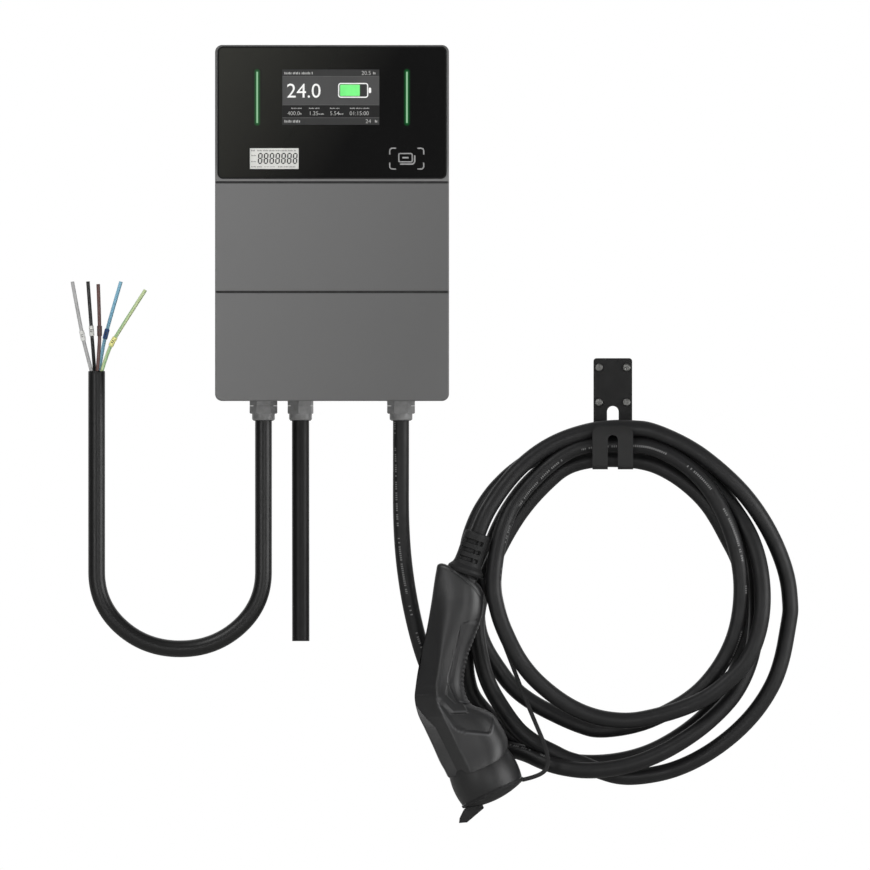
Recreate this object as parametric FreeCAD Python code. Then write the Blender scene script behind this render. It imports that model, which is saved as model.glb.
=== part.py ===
import FreeCAD, Part
import math
import os

from FreeCAD import Placement, Rotation, Vector

# Wall-mounted EV charger with its cables, vehicle connector and cable hook.
# Millimetres, Z up, the wall is the plane y = 0 and the object stands in front of it at negative y.
# The origin is the centre of the wall bracket's hole pattern, on the wall.

# Fits
seat_gap = 0.3            # between pieces that only lie beside each other
slide_gap = 0.05          # round pieces that slide or screw into each other
screw_free = 0.3          # round a screw that passes through without thread
past = 1.0                # a cutter reaches this far past the face it opens

# Box
box_w = 230.0
box_h = 350.0
box_corner_r = 7.0
wall_gap = 10.0           # wall to the back of the rear housing
rear_depth = 58.0
gasket_t = 2.0
gasket_inset = 0.5
gasket_w = 2.3
cover_depth = 45.0
shell_t = 3.0             # moulded wall of housing and covers
edge_round = 1.6          # rounded front edges of the covers
seam = 0.7                # open joint between neighbouring covers
upper_cover_h = 135.0
lower_cover_h = 107.2

box_top = box_h / 2.0
box_low = -box_h / 2.0
upper_seam_z = box_top - upper_cover_h
lower_seam_z = box_low + lower_cover_h

rear_y = -wall_gap
rim_y = rear_y - rear_depth
cover_back_y = rim_y - gasket_t
front_y = cover_back_y - cover_depth

# Glass panel and what shows in it
glass_t = 3.0
glass_corner_r = 5.5
glass_side = 2.4          # cover edge left free beside the glass
glass_top = 1.5
glass_bottom = 3.4
glass_ledge = 8.0         # bonding ledge under the glass
glass_down = 0.15         # glass lies this much below the cover's front
window_gap = 0.12
display_w = 95.4
display_h = 54.4
display_x = -1.2
display_down = 51.3       # centre below the box's top
display_z = box_top - display_down
lcd_w = 47.8
lcd_h = 20.3
lcd_side = 58.2           # centre from the box's left side
lcd_up = 23.3             # centre above the joint under the glass cover
lcd_x = lcd_side - box_w / 2.0
lcd_z = upper_seam_z + lcd_up
light_w = 2.0
light_h = 50.3
light_side = 41.4
light_down = 51.5
light_x = box_w / 2.0 - light_side
light_z = box_top - light_down
module_t = 6.0            # display bodies behind the glass
display_rim = 4.0         # body wider than its face, all round
lcd_rim = 1.5
light_foot_t = 2.5
board_t = 1.6
board_post_r = 3.5
board_post_side = 5.2     # post from the glass panel's side edge
board_post_row = 32.0     # post from the glass panel's upper and lower edge
board_side = 2.0          # board edge from the glass panel's side edge
board_end = 25.0          # board edge from the glass panel's upper and lower edge
# Components on the display board: centre from the board's centre, width, height, depth
display_parts = (
    (-20.0, 1.5, 20.0, 20.0, 2.0),
    (22.0, -18.5, 24.0, 12.0, 6.0),
    (-70.0, -7.5, 20.0, 10.0, 9.0),
)
card_w = 34.0
card_h = 22.0
card_side = 41.6
card_up = 23.3
card_x = box_w / 2.0 - card_side
card_z = upper_seam_z + card_up
card_t = 1.2
card_track = 5.0          # width of the antenna's printed track

# Small board screws
pcb_screw_r = 1.25
pcb_screw_grip = 6.0
pcb_head_r = 2.6
pcb_head_h = 1.8
pcb_hole_r = 1.6
pcb_corner_r = 3.0

# Cover screws, driven from behind
boss_r = 5.0
screw_r = 2.0
screw_head_r = 3.6
screw_head_h = 2.6
boss_side = 12.0          # boss from the box's side
boss_end = 15.0           # boss from the box's top and bottom
boss_seam = 12.0          # boss from a joint between two covers
boss_rib_t = 2.0
boss_x = box_w / 2.0 - boss_side
boss_rows = (
    box_top - boss_end,
    upper_seam_z + boss_seam,
    upper_seam_z - boss_seam,
    lower_seam_z + boss_seam,
    lower_seam_z - boss_seam,
    box_low + boss_end,
)
cover_screw_len = 72.0
screw_drive = 2.5         # hexagon socket across flats
screw_drive_h = 1.4

# Wall bracket, a folded top-hat plate
bracket_t = 2.0
bracket_side = 40.0       # bracket's middle inside the box's sides
bracket_end = 75.0        # bracket inside the box's top and bottom
bracket_w = box_w - 2.0 * bracket_side
bracket_h = box_h - 2.0 * bracket_end
bracket_flange = 18.0
bracket_fold_r = 0.9
bracket_window_w = 60.0
bracket_window_h = 80.0
bracket_window_r = 8.0
bracket_hole_r = 3.25
bracket_hole_in = 25.0    # holes inside the bracket's edges
bracket_hole_dx = bracket_w - 2.0 * bracket_hole_in
bracket_hole_dz = bracket_h - 2.0 * bracket_hole_in
bracket_screw_r = 2.5
bracket_screw_grip = 8.0
bracket_head_r = 4.75
bracket_head_h = 3.0
bracket_screw_in = 12.0
bracket_screw_dz = bracket_h - 2.0 * bracket_screw_in

# Rail and devices inside
rail_z = -12.0
rail_h = 35.0
rail_side = 20.0          # rail inside the box's sides
rail_len = box_w - 2.0 * rail_side
rail_post = 5.0
rail_post_r = 6.0
rail_post_in = 15.0
rail_post_x = rail_len / 2.0 - rail_post_in
rail_hat = 7.5
rail_channel_w = 24.0
rail_t = 1.2
rail_lead = 2.0           # rail's end to the first device
device_h = 88.0
device_gap = 2.0
meter_w = 72.0
contactor_w = 54.0
monitor_w = 36.0
device_depth = 58.0
device_shoulder = 44.0
device_nose_h = 45.0
device_way_w = 14.0       # width that each wire way takes
device_wire_r = 3.0
device_wire_y = 16.0      # wire way from the device's back
device_way_deep = 9.0
device_driver_r = 2.6
device_driver_deep = 4.0
device_window_deep = 1.2
# Windows in the devices' fronts: left edge, lower edge from the rail's middle, width, height
meter_windows = ((12.0, -4.0, 44.0, 16.0), (50.0, -16.0, 8.0, 8.0))
contactor_windows = ((16.0, -8.0, 22.0, 16.0),)
monitor_windows = ((8.0, -6.0, 8.0, 8.0), (20.0, -6.0, 8.0, 8.0))
terminal_w = 52.0
terminal_h = 30.0
terminal_d = 32.0
terminal_up = 63.0
terminal_z = box_low + terminal_up
terminal_ways = 5
terminal_step = 8.0
terminal_wire_r = 3.6
terminal_wire_deep = 14.0
terminal_driver_r = 3.2
terminal_driver_up = 5.0
terminal_groove = 1.0
control_side = 27.0       # control board inside the box's sides
control_w = box_w - 2.0 * control_side
control_h = 84.0
control_down = 67.0
control_z = box_top - control_down
control_post = 8.0
control_post_r = 4.0
control_post_inset = 6.0
# Components on the control board: centre from the board's centre, width, height, depth
control_parts = (
    (-55.0, -2.0, 30.0, 36.0, 24.0),
    (-15.0, -13.0, 26.0, 30.0, 16.0),
    (25.0, 3.0, 30.0, 30.0, 3.0),
    (63.0, -24.0, 26.0, 12.0, 12.0),
)
# Round capacitors: centre from the board's centre, radius, height
control_cans = ((-16.0, 22.0, 8.0, 26.0), (4.0, 26.0, 6.0, 20.0))

# Cable glands: place along X and diameter of the cable that each one holds
gland_y = rear_y - rear_depth / 2.0
supply_side = 47.6
second_side = 84.0
output_side = 47.2
supply_x = supply_side - box_w / 2.0
second_x = second_side - box_w / 2.0
output_x = box_w / 2.0 - output_side
supply_d = 16.6
second_d = 17.0
charge_d = 16.0
gland_hex = 23.6          # across flats
gland_flange_h = 4.6
gland_nut_h = 7.6
gland_chamfer = 0.9
gland_neck_r = 9.9
gland_neck_h = 6.1
gland_dome_r = 11.2
gland_dome_h = 6.4
gland_dome_round = 1.6
gland_seal_t = 1.6
gland_seal_proud = 0.5
gland_thread_r = 11.3
gland_inside = 9.0        # thread length inside the housing
locknut_hex = 27.0
locknut_h = 4.0
cable_in = 13.0           # cable ends this far inside the box
cable_in_z = box_low + cable_in
# Name, place along X, cable diameter and turn of each gland's hexagon
glands = (
    ("supply", supply_x, supply_d, 0.0),
    ("second", second_x, second_d, 22.0),
    ("output", output_x, charge_d, 0.0),
)

# Supply cable: hand-chosen route, jacket end and cores
supply_route = (
    (supply_x, gland_y, cable_in_z),
    (supply_x, gland_y, -369.0),
    (-115.2, gland_y + 1.5, -417.2),
    (-182.6, gland_y - 1.0, -419.6),
    (-230.6, gland_y, -371.0),
    (-231.4, gland_y, -146.8),
)
core_d = 3.6
# Routes of the five cores, with Y from the cable's axis
core_routes = {
    "core_grey": ((-236.4, -2.0, -146.0), (-240.6, -3.0, -130.0), (-246.2, -5.0, -108.0), (-255.3, -6.0, -57.6)),
    "core_black": ((-233.4, 4.4, -146.0), (-234.6, 5.4, -128.0), (-236.6, 6.4, -104.0), (-240.0, 6.0, -57.4)),
    "core_brown": ((-230.6, -4.6, -146.0), (-229.4, -6.0, -128.0), (-228.0, -7.6, -108.0), (-229.9, -8.0, -60.0)),
    "core_blue": ((-229.0, 4.4, -146.0), (-226.2, 5.6, -127.0), (-221.2, 7.4, -104.0), (-207.5, 9.0, -57.6)),
    "core_earth": ((-226.4, -2.0, -146.0), (-220.0, -4.0, -124.0), (-208.8, -6.0, -105.4), (-183.4, -8.0, -65.8)),
}
sleeve_heights = (-112.0, -106.0, -110.0, -109.0, -114.0)
sleeve_r = 2.5
sleeve_len = 10.0

# Second cable, a short straight stub
second_route = (
    (second_x, gland_y, cable_in_z),
    (second_x + 0.3, gland_y, -409.9),
)

plug_y = -70.0            # parting plane of the connector's two shell halves

# Strain relief boot
boot_tilt = 18.5          # boot axis from straight up towards +X, degrees
boot_x = 131.4
boot_z = -340.6
boot_len = 36.0
boot_r0 = 16.4
boot_r1 = 13.6
boot_round = 1.5
boot_rows = 3
boot_slot_w = 3.4         # along the cable
boot_slot_len = 16.0      # across it
boot_foot = 6.0           # solid below the first row of slots
boot_head = 2.0           # solid above the last row's pitch
boot_sleeve_t = 2.0       # wall left round the cable inside the slots


def boot_point(along, aside=0.0):
    """Place in the drawing plane on the axis of the strain relief boot, given from its foot upwards."""
    tilt = math.radians(boot_tilt)
    return boot_x + along * math.sin(tilt) + aside, boot_z + along * math.cos(tilt)


def boot_spot(along, aside=0.0):
    x, z = boot_point(along, aside)
    return x, plug_y, z


# Charging cable: lead from the box, and the end that runs down to the connector
lead_route = (
    (output_x, gland_y, cable_in_z),
    (output_x, gland_y, -231.0),
    (67.6, -36.2, -303.0),
    (73.6, -30.6, -360.0),
    (85.6, -23.6, -414.0),
    (100.0, -18.0, -452.0),
    (121.0, -14.6, -484.0),
    (149.9, -14.0, -505.6),
)
end_route = (
    boot_spot(-22.0),
    boot_spot(15.0, 0.01),
    boot_spot(52.0),
    (162.5, -66.3, -267.0),
    (181.0, -61.5, -243.5),
    (203.0, -57.5, -224.8),
    (227.0, -54.8, -211.8),
    (256.0, -53.4, -203.2),
)

# Coil of the charging cable on the hook: a wide rear layer and a narrower front layer
coil_back_y = -5.0
coil_step_y = -38.0
coil_front_y = -61.8
coil_rear_outer = (
    (144.1, -513.2), (172.0, -526.0), (218.0, -540.0), (283.0, -553.4), (345.0, -543.0), (405.0, -505.0),
    (446.0, -447.0), (459.4, -380.0), (446.0, -318.0), (412.0, -262.0), (352.0, -212.5), (278.0, -193.0),
    (208.0, -214.0), (154.0, -259.0), (126.0, -320.0), (121.6, -395.0), (128.0, -440.0), (138.0, -470.0),
    (155.7, -498.0),
)
coil_front_outer = (
    (250.0, -193.0), (278.0, -192.6), (340.0, -209.0), (392.0, -254.0), (425.0, -315.0), (433.0, -375.0),
    (421.0, -435.0), (386.0, -487.5), (335.0, -527.0), (285.0, -543.0), (225.0, -543.0), (188.0, -524.0),
    (178.0, -480.0), (160.5, -420.0), (153.0, -370.0), (162.0, -306.0), (190.0, -259.0), (219.0, -231.0),
    (250.0, -216.0),
)
coil_hole = (
    (256.0, -236.4), (300.0, -236.4), (328.0, -249.0), (360.0, -281.0), (385.0, -325.0), (393.5, -375.0),
    (383.0, -434.0), (342.0, -470.0), (289.0, -481.5), (227.0, -461.0), (183.0, -412.0), (167.0, -352.0),
    (179.0, -295.0), (208.0, -262.0), (230.0, -247.0),
)

# Cable hook, bent from sheet steel
hook_x = 276.0
hook_w = 38.0
hook_t = 2.5
hook_bend_r = 3.0
hook_tray = 60.0          # depth between wall plate and front tab
hook_top_z = -132.9
hook_shelf_z = -239.7     # upper face of the shelf
hook_tab_top_z = -199.4
hook_tab_w = 40.0
hook_corner_r = 3.0
hook_tab_corner_r = 8.0
hook_slot_w = 11.4
hook_slot_top_z = -179.9
hook_tab_slot_w = 9.8
hook_tab_slot_top_z = -208.4
hook_screw_dx = 27.2
hook_screw_dz = 34.2
hook_screw_z = -159.1
hook_screw_r = 2.2
hook_shank_r = 1.95
hook_hole_r = 2.4
hook_screw_head_r = 3.8
hook_screw_head_h = 2.4
hook_head_round = 1.1
hook_cross_w = 4.0
hook_cross_t = 0.8
hook_cross_deep = 1.3
hook_screw_len = 28.0     # shank beyond the wall plate

# Vehicle connector
nose_tilt = 25.5          # nose axis from straight down towards +X, degrees
nose_x = 143.5            # centre of the joint between shell and nose shroud
nose_z = -529.4
nose_len = 32.4
nose_r0 = 31.6


def nose_point(across, along):
    """Place in the drawing plane given across and along the nose axis from the joint's centre."""
    tilt = math.radians(nose_tilt)
    x = nose_x + across * math.cos(tilt) + along * math.sin(tilt)
    z = nose_z + across * math.sin(tilt) - along * math.cos(tilt)
    return x, z


# Side outline of the connector, each point with the spine point that its section shrinks to
plug_outline = (
    ((103.6, -335.0), (124.0, -350.0)),
    ((114.0, -334.2), (126.0, -350.0)),
    ((130.7, -344.1), (127.0, -352.0)),
    ((144.5, -354.9), (126.0, -358.0)),
    ((148.4, -364.0), (124.5, -366.0)),
    ((147.6, -384.0), (121.0, -386.0)),
    ((139.6, -406.0), (116.0, -403.0)),
    ((130.7, -427.6), (109.0, -424.0)),
    ((127.3, -449.2), (106.0, -446.0)),
    ((134.7, -472.8), (110.0, -472.0)),
    ((157.0, -480.6), (127.1, -494.9)),
    ((173.0, -496.4), (136.2, -514.1)),
    ((173.4, -510.0), (141.5, -525.2)),
    (nose_point(nose_r0, 0.0), nose_point(0.0, 0.0)),
    (nose_point(-nose_r0, 0.0), nose_point(0.0, 0.0)),
    ((110.4, -538.6), (141.0, -524.1)),
    ((82.6, -478.7), (111.0, -470.0)),
    ((81.0, -468.0), (107.0, -463.0)),
    ((84.5, -439.4), (106.4, -440.0)),
    ((92.9, -400.1), (115.0, -400.0)),
    ((99.3, -360.8), (122.0, -366.0)),
)
section_levels = (0.0, 12.0, 20.0, 26.0, 29.6, 31.2)
section_r = 31.8          # half thickness at which the section closes
# Half thickness of the connector against height
plug_thickness = (
    (-320.0, 16.4), (-345.0, 17.6), (-400.0, 18.6), (-452.0, 19.4), (-500.0, 30.0), (-508.0, 31.8), (-560.0, 31.8),
)
grip_half = 18.6          # half thickness of the grip beside the inlay
inlay_t = 2.6             # thickness of the soft inlay
inlay_outline = (
    (164.0, -383.0), (139.6, -391.7), (126.3, -397.1), (120.0, -424.0), (114.0, -449.2), (123.9, -464.4),
    (150.0, -466.0), (164.0, -430.0),
)
inlay_core = (
    (90.0, -383.0), (144.6, -386.0), (136.8, -405.4), (128.0, -427.0), (124.7, -449.4), (127.0, -458.0),
    (90.0, -468.0),
)
nose_r1 = 34.0            # widest place, half way along
nose_r2 = 32.4
nose_wall = 3.6
nose_floor = 4.0
insert_r = 24.0
insert_back = 16.0
tower_r = 6.4
tower_small_r = 4.6
tower_len = 18.0
power_angles = (75.0, 140.0, 220.0, 285.0)
signal_u = 12.2
signal_w = 6.4
contact_r = 3.1
contact_small_r = 1.6
contact_wall = 0.9
contact_ring_r = 15.2
contact_short = 1.5       # contacts stay below the towers' ends
contact_floor = 3.0
seal_t = 1.4
seal_w = 3.0
seal_inset = 1.4
cable_bore_deep = 22.0    # below the boot's foot
cable_bore_len = 60.0
clamp_size = 27.0
clamp_round = 4.0
clamp_len = 14.0
clamp_place = 14.0        # below the top of the grip, along the cable
plug_screw_r = 1.9
plug_screw_head_r = 3.4
plug_screw_head_h = 2.6
plug_screw_seat = 10.4    # seat of the heads behind the parting plane
plug_screw_len = 19.4
plug_screws = ((108.0, -352.0), (100.0, -430.0), (97.0, -485.0), (150.0, -497.0))

# Dust cap
cap_rim_t = 2.6
cap_rim_r = 33.4
cap_dome = 6.6
cap_spigot_r = nose_r2 - nose_wall - 0.1
cap_spigot_wall = 2.4
cap_spigot_len = 6.0
cap_wall = 2.6
# Side outline of the pull tab: across and along the nose axis
cap_tab = (
    (-29.0, 35.4), (-33.0, 36.6), (-40.3, 42.3), (-42.9, 46.5), (-35.5, 49.4), (-14.4, 43.8), (-14.0, 38.6),
)
cap_tab_w = 17.0

# Tether of the dust cap, a moulded strap
tether_w = 4.2
tether_t = 2.2
tether_route = (
    (150.1, -64.6, -365.2),
    (156.4, -64.2, -384.0),
    (165.0, -63.8, -407.0),
    (175.8, -63.7, -433.0),
    (187.0, -63.7, -463.6),
    (199.8, -63.8, -493.0),
    (208.8, -64.4, -514.0),
    (212.8, -65.8, -531.0),
    (206.6, -68.6, -542.6),
    (189.2, -70.0, -546.2),
)


def box(x0, x1, y0, y1, z0, z1):
    low = Vector(min(x0, x1), min(y0, y1), min(z0, z1))
    return Part.makeBox(abs(x1 - x0), abs(y1 - y0), abs(z1 - z0), low)


def rod(start, end, radius):
    start, end = Vector(*start), Vector(*end)
    way = end.sub(start)
    return Part.makeCylinder(radius, way.Length, start, way)


def plate(x0, x1, z0, z1, y0, y1, corners):
    """Plate parallel to the wall; corners gives the radii at low-left, low-right, top-right and top-left."""
    turns = ((x0, z0, 1, 1), (x1, z0, -1, 1), (x1, z1, -1, -1), (x0, z1, 1, -1))
    points, edges = [], []
    for k, ((x, z, sx, sz), radius) in enumerate(zip(turns, corners)):
        along = Vector(x + sx * radius, y0, z)
        up = Vector(x, y0, z + sz * radius)
        inset = radius * (1 - math.sqrt(0.5))
        mid = Vector(x + sx * inset, y0, z + sz * inset)
        first, last = (up, along) if k % 2 == 0 else (along, up)
        points.append((first, mid, last, radius))
    for k in range(4):
        first, mid, last, radius = points[k]
        if radius > 0:
            edges.append(Part.Arc(first, mid, last).toShape())
        following = points[(k + 1) % 4][0]
        if last.distanceToPoint(following) > 1e-6:
            edges.append(Part.makeLine(last, following))
    return Part.Face(Part.Wire(edges)).extrude(Vector(0, y1 - y0, 0))


def hex_prism(x, y, z, flats, height, turn):
    corner = flats / math.sqrt(3.0)
    points = []
    for k in range(7):
        angle = math.radians(60.0 * k + turn)
        points.append(Vector(x + corner * math.cos(angle), y + corner * math.sin(angle), z))
    return Part.Face(Part.makePolygon(points)).extrude(Vector(0, 0, height))


def route_path(route):
    """Straight runs joined by tangent arcs, each arc as large as its two runs allow. Returns wire and radii."""
    points = [Vector(*p) for p in route]
    edges, radii = [], []
    here = points[0]
    for before, corner, after in zip(points, points[1:], points[2:]):
        came, goes = corner.sub(before), after.sub(corner)
        turn = came.getAngle(goes)
        reach = 0.45 * min(came.Length, goes.Length)
        radius = reach / math.tan(turn / 2.0)
        radii.append(radius)
        start = corner.sub(Vector(came).normalize().multiply(reach))
        end = corner.add(Vector(goes).normalize().multiply(reach))
        inward = start.add(end).multiply(0.5).sub(corner).normalize()
        middle = corner.add(inward.multiply(radius / math.cos(turn / 2.0) - radius))
        edges.append(Part.LineSegment(here, start).toShape())
        edges.append(Part.Arc(start, middle, end).toShape())
        here = end
    edges.append(Part.LineSegment(here, points[-1]).toShape())
    return Part.Wire(edges), radii


def tube_on_wire(wire, route, diameter):
    first = Vector(*route[0])
    way = Vector(*route[1]).sub(first)
    section = Part.Wire(Part.Circle(first, way, diameter / 2.0).toShape())
    return wire.makePipeShell([section], True, False)


def tube_on_route(name, route, diameter):
    wire, radii = route_path(route)
    solid = tube_on_wire(wire, route, diameter)
    share = solid.Volume / (math.pi * diameter**2 / 4.0 * wire.Length)
    smallest = min(radii) / diameter if radii else 0.0
    print(f"{name}: {wire.Length:.0f} mm, smallest radius {smallest:.1f} diameters, volume ratio {share:.4f}")
    return solid


def closed_spline(points, y):
    curve = Part.BSplineCurve()
    curve.interpolate(Points=[Vector(x, y, z) for x, z in points], PeriodicFlag=True)
    return Part.Wire(curve.toShape())


def open_spline_loop(points, y):
    """Spline through the points, closed by one straight edge from the last point to the first."""
    vectors = [Vector(x, y, z) for x, z in points]
    curve = Part.BSplineCurve()
    curve.interpolate(Points=vectors)
    return Part.Wire([curve.toShape(), Part.makeLine(vectors[-1], vectors[0])])


def slab(wire, depth):
    return Part.Face(wire).extrude(Vector(0, depth, 0))


def gap_walls(z_low, z_high):
    """Z range of a cover between its neighbours' joints."""
    return z_low + seam / 2.0, z_high - seam / 2.0


def front_edges(solid):
    edges = []
    for edge in solid.Edges:
        bounds = edge.BoundBox
        if abs(bounds.YMin - front_y) < 0.01 and abs(bounds.YMax - front_y) < 0.01:
            edges.append(edge)
    return edges


def screw_solid(x, y, z, way, reach, radius, head_r, head_h):
    """Screw along Y whose head stands on y; way is the sign of the direction that the shank takes."""
    shank = rod((x, y, z), (x, y + way * reach, z), radius)
    head = rod((x, y, z), (x, y - way * head_h, z), head_r)
    return shank.fuse(head).removeSplitter()


def blocks(x, z, y, way, parts):
    """Board components: boxes on the face y, placed from the board's centre."""
    shapes = []
    for px, pz, w, h, d in parts:
        left, low = x + px - w / 2.0, z + pz - h / 2.0
        shapes.append(box(left, left + w, y, y + way * d, low, low + h))
    return shapes


def boss_places(z_low, z_high):
    return [(side * boss_x, side, z) for z in boss_rows if z_low < z < z_high for side in (-1, 1)]


def cover_tray(z_low, z_high, top_r, bottom_r, front_wall):
    """One moulded front cover, open to the back, with its screw bosses."""
    x, t = box_w / 2.0, shell_t
    radii = (bottom_r, bottom_r, top_r, top_r)
    outer = plate(-x, x, z_low, z_high, front_y, cover_back_y, radii)
    outer = outer.makeFillet(edge_round, front_edges(outer))
    inside = front_y + front_wall
    inner_r = [max(r - t, 0.0) for r in radii]
    cavity = plate(-x + t, x - t, z_low + t, z_high - t, inside, cover_back_y, inner_r)
    adds, holes = [], []
    for bx, side, z in boss_places(z_low, z_high):
        rib = boss_rib_t / 2.0
        adds.append(rod((bx, cover_back_y, z), (bx, inside, z), boss_r))
        adds.append(box(bx, side * (x - t / 2.0), cover_back_y, inside, z - rib, z + rib))
        end = rear_y - cover_screw_len - 2 * past
        holes.append(rod((bx, cover_back_y + past, z), (bx, end, z), screw_r + slide_gap))
    return outer.cut(cavity).fuse(adds).cut(holes).removeSplitter()


def glass_bounds():
    x = box_w / 2.0 - glass_side
    return -x, x, upper_seam_z + glass_bottom, box_top - glass_top


def board_post_places():
    x0, x1, z0, z1 = glass_bounds()
    columns = (x0 + board_post_side, x1 - board_post_side)
    return [(x, z) for x in columns for z in (z0 + board_post_row, z1 - board_post_row)]


def upper_cover():
    z_low, z_high = gap_walls(upper_seam_z, box_top + seam / 2.0)
    ledge_t = glass_t + glass_down + shell_t
    tray = cover_tray(z_low, z_high, box_corner_r, 0.0, ledge_t)
    x0, x1, z0, z1 = glass_bounds()
    radii = (glass_corner_r,) * 4
    g, m = window_gap, glass_ledge
    recess = plate(x0 - g, x1 + g, z0 - g, z1 + g, front_y - past, glass_back_y(), radii)
    window = plate(x0 + m, x1 - m, z0 + m, z1 - m, front_y - past, front_y + ledge_t + past, radii)
    back, end = front_y + ledge_t, board_front_y()
    posts, pilots = [], []
    for x, z in board_post_places():
        posts.append(rod((x, back, z), (x, end, z), board_post_r))
        pilots.append(rod((x, back - past, z), (x, end + past, z), pcb_screw_r + slide_gap))
    return tray.cut([recess, window]).fuse(posts).cut(pilots).removeSplitter()


def middle_cover():
    z_low, z_high = gap_walls(lower_seam_z, upper_seam_z)
    return cover_tray(z_low, z_high, 0.0, 0.0, shell_t)


def lower_cover():
    z_low, z_high = gap_walls(box_low - seam / 2.0, lower_seam_z)
    return cover_tray(z_low, z_high, 0.0, box_corner_r, shell_t)


def glass_front_y():
    return front_y + glass_down


def glass_back_y():
    return glass_front_y() + glass_t


def board_front_y():
    return glass_back_y() + module_t + seat_gap


def windows():
    """Openings in the glass: centre x, centre z, width, height."""
    return (
        (display_x, display_z, display_w, display_h),
        (lcd_x, lcd_z, lcd_w, lcd_h),
        (-light_x, light_z, light_w, light_h),
        (light_x, light_z, light_w, light_h),
    )


def glass_panel():
    x0, x1, z0, z1 = glass_bounds()
    panel = plate(x0, x1, z0, z1, glass_front_y(), glass_back_y(), (glass_corner_r,) * 4)
    cuts = []
    for x, z, w, h in windows():
        half_w, half_h = w / 2.0 + window_gap, h / 2.0 + window_gap
        cuts.append(box(x - half_w, x + half_w, front_y - past, glass_back_y() + past, z - half_h, z + half_h))
    return panel.cut(cuts)


def screen(x, z, w, h, rim):
    """Display whose face fills its opening in the glass, with a wider body behind."""
    half_w, half_h = w / 2.0, h / 2.0
    face = box(x - half_w, x + half_w, glass_front_y(), glass_back_y(), z - half_h, z + half_h)
    half_w, half_h = half_w + rim, half_h + rim
    body = box(x - half_w, x + half_w, glass_back_y(), board_front_y(), z - half_h, z + half_h)
    return face.fuse(body).removeSplitter()


def light_guides():
    bars = []
    low, high = light_z - light_h / 2.0, light_z + light_h / 2.0
    back = board_front_y()
    for x in (-light_x, light_x):
        bar = box(x - light_w / 2.0, x + light_w / 2.0, glass_front_y(), back, low, high)
        foot = box(x - light_w, x + light_w, back - light_foot_t, back, low, high)
        bars.append(bar.fuse(foot).removeSplitter())
    return Part.makeCompound(bars)


def display_board():
    x0, x1, z0, z1 = glass_bounds()
    y0, y1 = board_front_y(), board_front_y() + board_t
    low, high = z0 + board_end, z1 - board_end
    board = plate(x0 + board_side, x1 - board_side, low, high, y0, y1, (pcb_corner_r,) * 4)
    chips = blocks(0.0, (z0 + z1) / 2.0, y1, 1, display_parts)
    cuts = [rod((x, y0 - past, z), (x, y1 + past, z), pcb_hole_r) for x, z in board_post_places()]
    for bx, side, z in boss_places(low, high):
        reach = boss_r + past
        cuts.append(box(bx - side * reach, side * x1, y0 - past, y1 + past, z - reach, z + reach))
    return board.fuse(chips).cut(cuts).removeSplitter()


def board_screws():
    y = board_front_y() + board_t
    reach = board_t + module_t - shell_t - past
    screws = [screw_solid(x, y, z, -1, reach, pcb_screw_r, pcb_head_r, pcb_head_h) for x, z in board_post_places()]
    return Part.makeCompound(screws)


def card_antenna():
    y = board_front_y()
    x0, x1 = card_x - card_w / 2.0, card_x + card_w / 2.0
    z0, z1 = card_z - card_h / 2.0, card_z + card_h / 2.0
    outer = plate(x0, x1, z0, z1, y - card_t, y, (card_track / 2.0,) * 4)
    e = card_track
    inner = plate(x0 + e, x1 - e, z0 + e, z1 - e, y - card_t - past, y - card_t / 2.0, (past,) * 4)
    return outer.cut(inner)


def rear_housing():
    """Moulded tub with bosses and posts for all that is screwed to it."""
    x, r, t = box_w / 2.0, box_corner_r, shell_t
    outer = plate(-x, x, box_low, box_top, rim_y, rear_y, (r,) * 4)
    cavity = plate(-x + t, x - t, box_low + t, box_top - t, rim_y - past, rear_y - t, (r - t,) * 4)
    floor = rear_y - t
    root = rear_y - t / 2.0
    adds, cuts = [], []
    for bx, side, z in boss_places(box_low, box_top):
        rib = boss_rib_t / 2.0
        adds.append(rod((bx, root, z), (bx, rim_y, z), boss_r))
        adds.append(box(bx, side * (x - t / 2.0), root, rim_y, z - rib, z + rib))
        cuts.append(rod((bx, rear_y + past, z), (bx, rim_y - past, z), screw_r + screw_free))
        cuts.append(rod((bx, rear_y + past, z), (bx, rear_y - screw_head_h, z), screw_head_r + screw_free))
    for px in (-rail_post_x, rail_post_x):
        adds.append(rod((px, root, rail_z), (px, floor - rail_post, rail_z), rail_post_r))
    for px, pz in control_posts():
        adds.append(rod((px, root, pz), (px, floor - control_post, pz), control_post_r))
        cuts.append(rod((px, floor - control_post - past, pz), (px, floor + past, pz), pcb_screw_r + slide_gap))
    for px, pz in bracket_screw_places():
        cuts.append(rod((px, rear_y + past, pz), (px, floor - past, pz), bracket_screw_r + screw_free))
    for _, gx, _, _ in glands:
        start, end = (gx, gland_y, box_low - past), (gx, gland_y, box_low + t + past)
        cuts.append(rod(start, end, gland_thread_r + slide_gap))
    return outer.cut(cavity).fuse(adds).cut(cuts).removeSplitter()


def housing_gasket():
    x, z, r = box_w / 2.0 - gasket_inset, box_top - gasket_inset, box_corner_r - gasket_inset
    outer = plate(-x, x, -z, z, cover_back_y, rim_y, (r,) * 4)
    w = gasket_w
    inner = plate(-x + w, x - w, -z + w, z - w, cover_back_y - past, rim_y + past, (r - w,) * 4)
    return outer.cut(inner)


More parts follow.
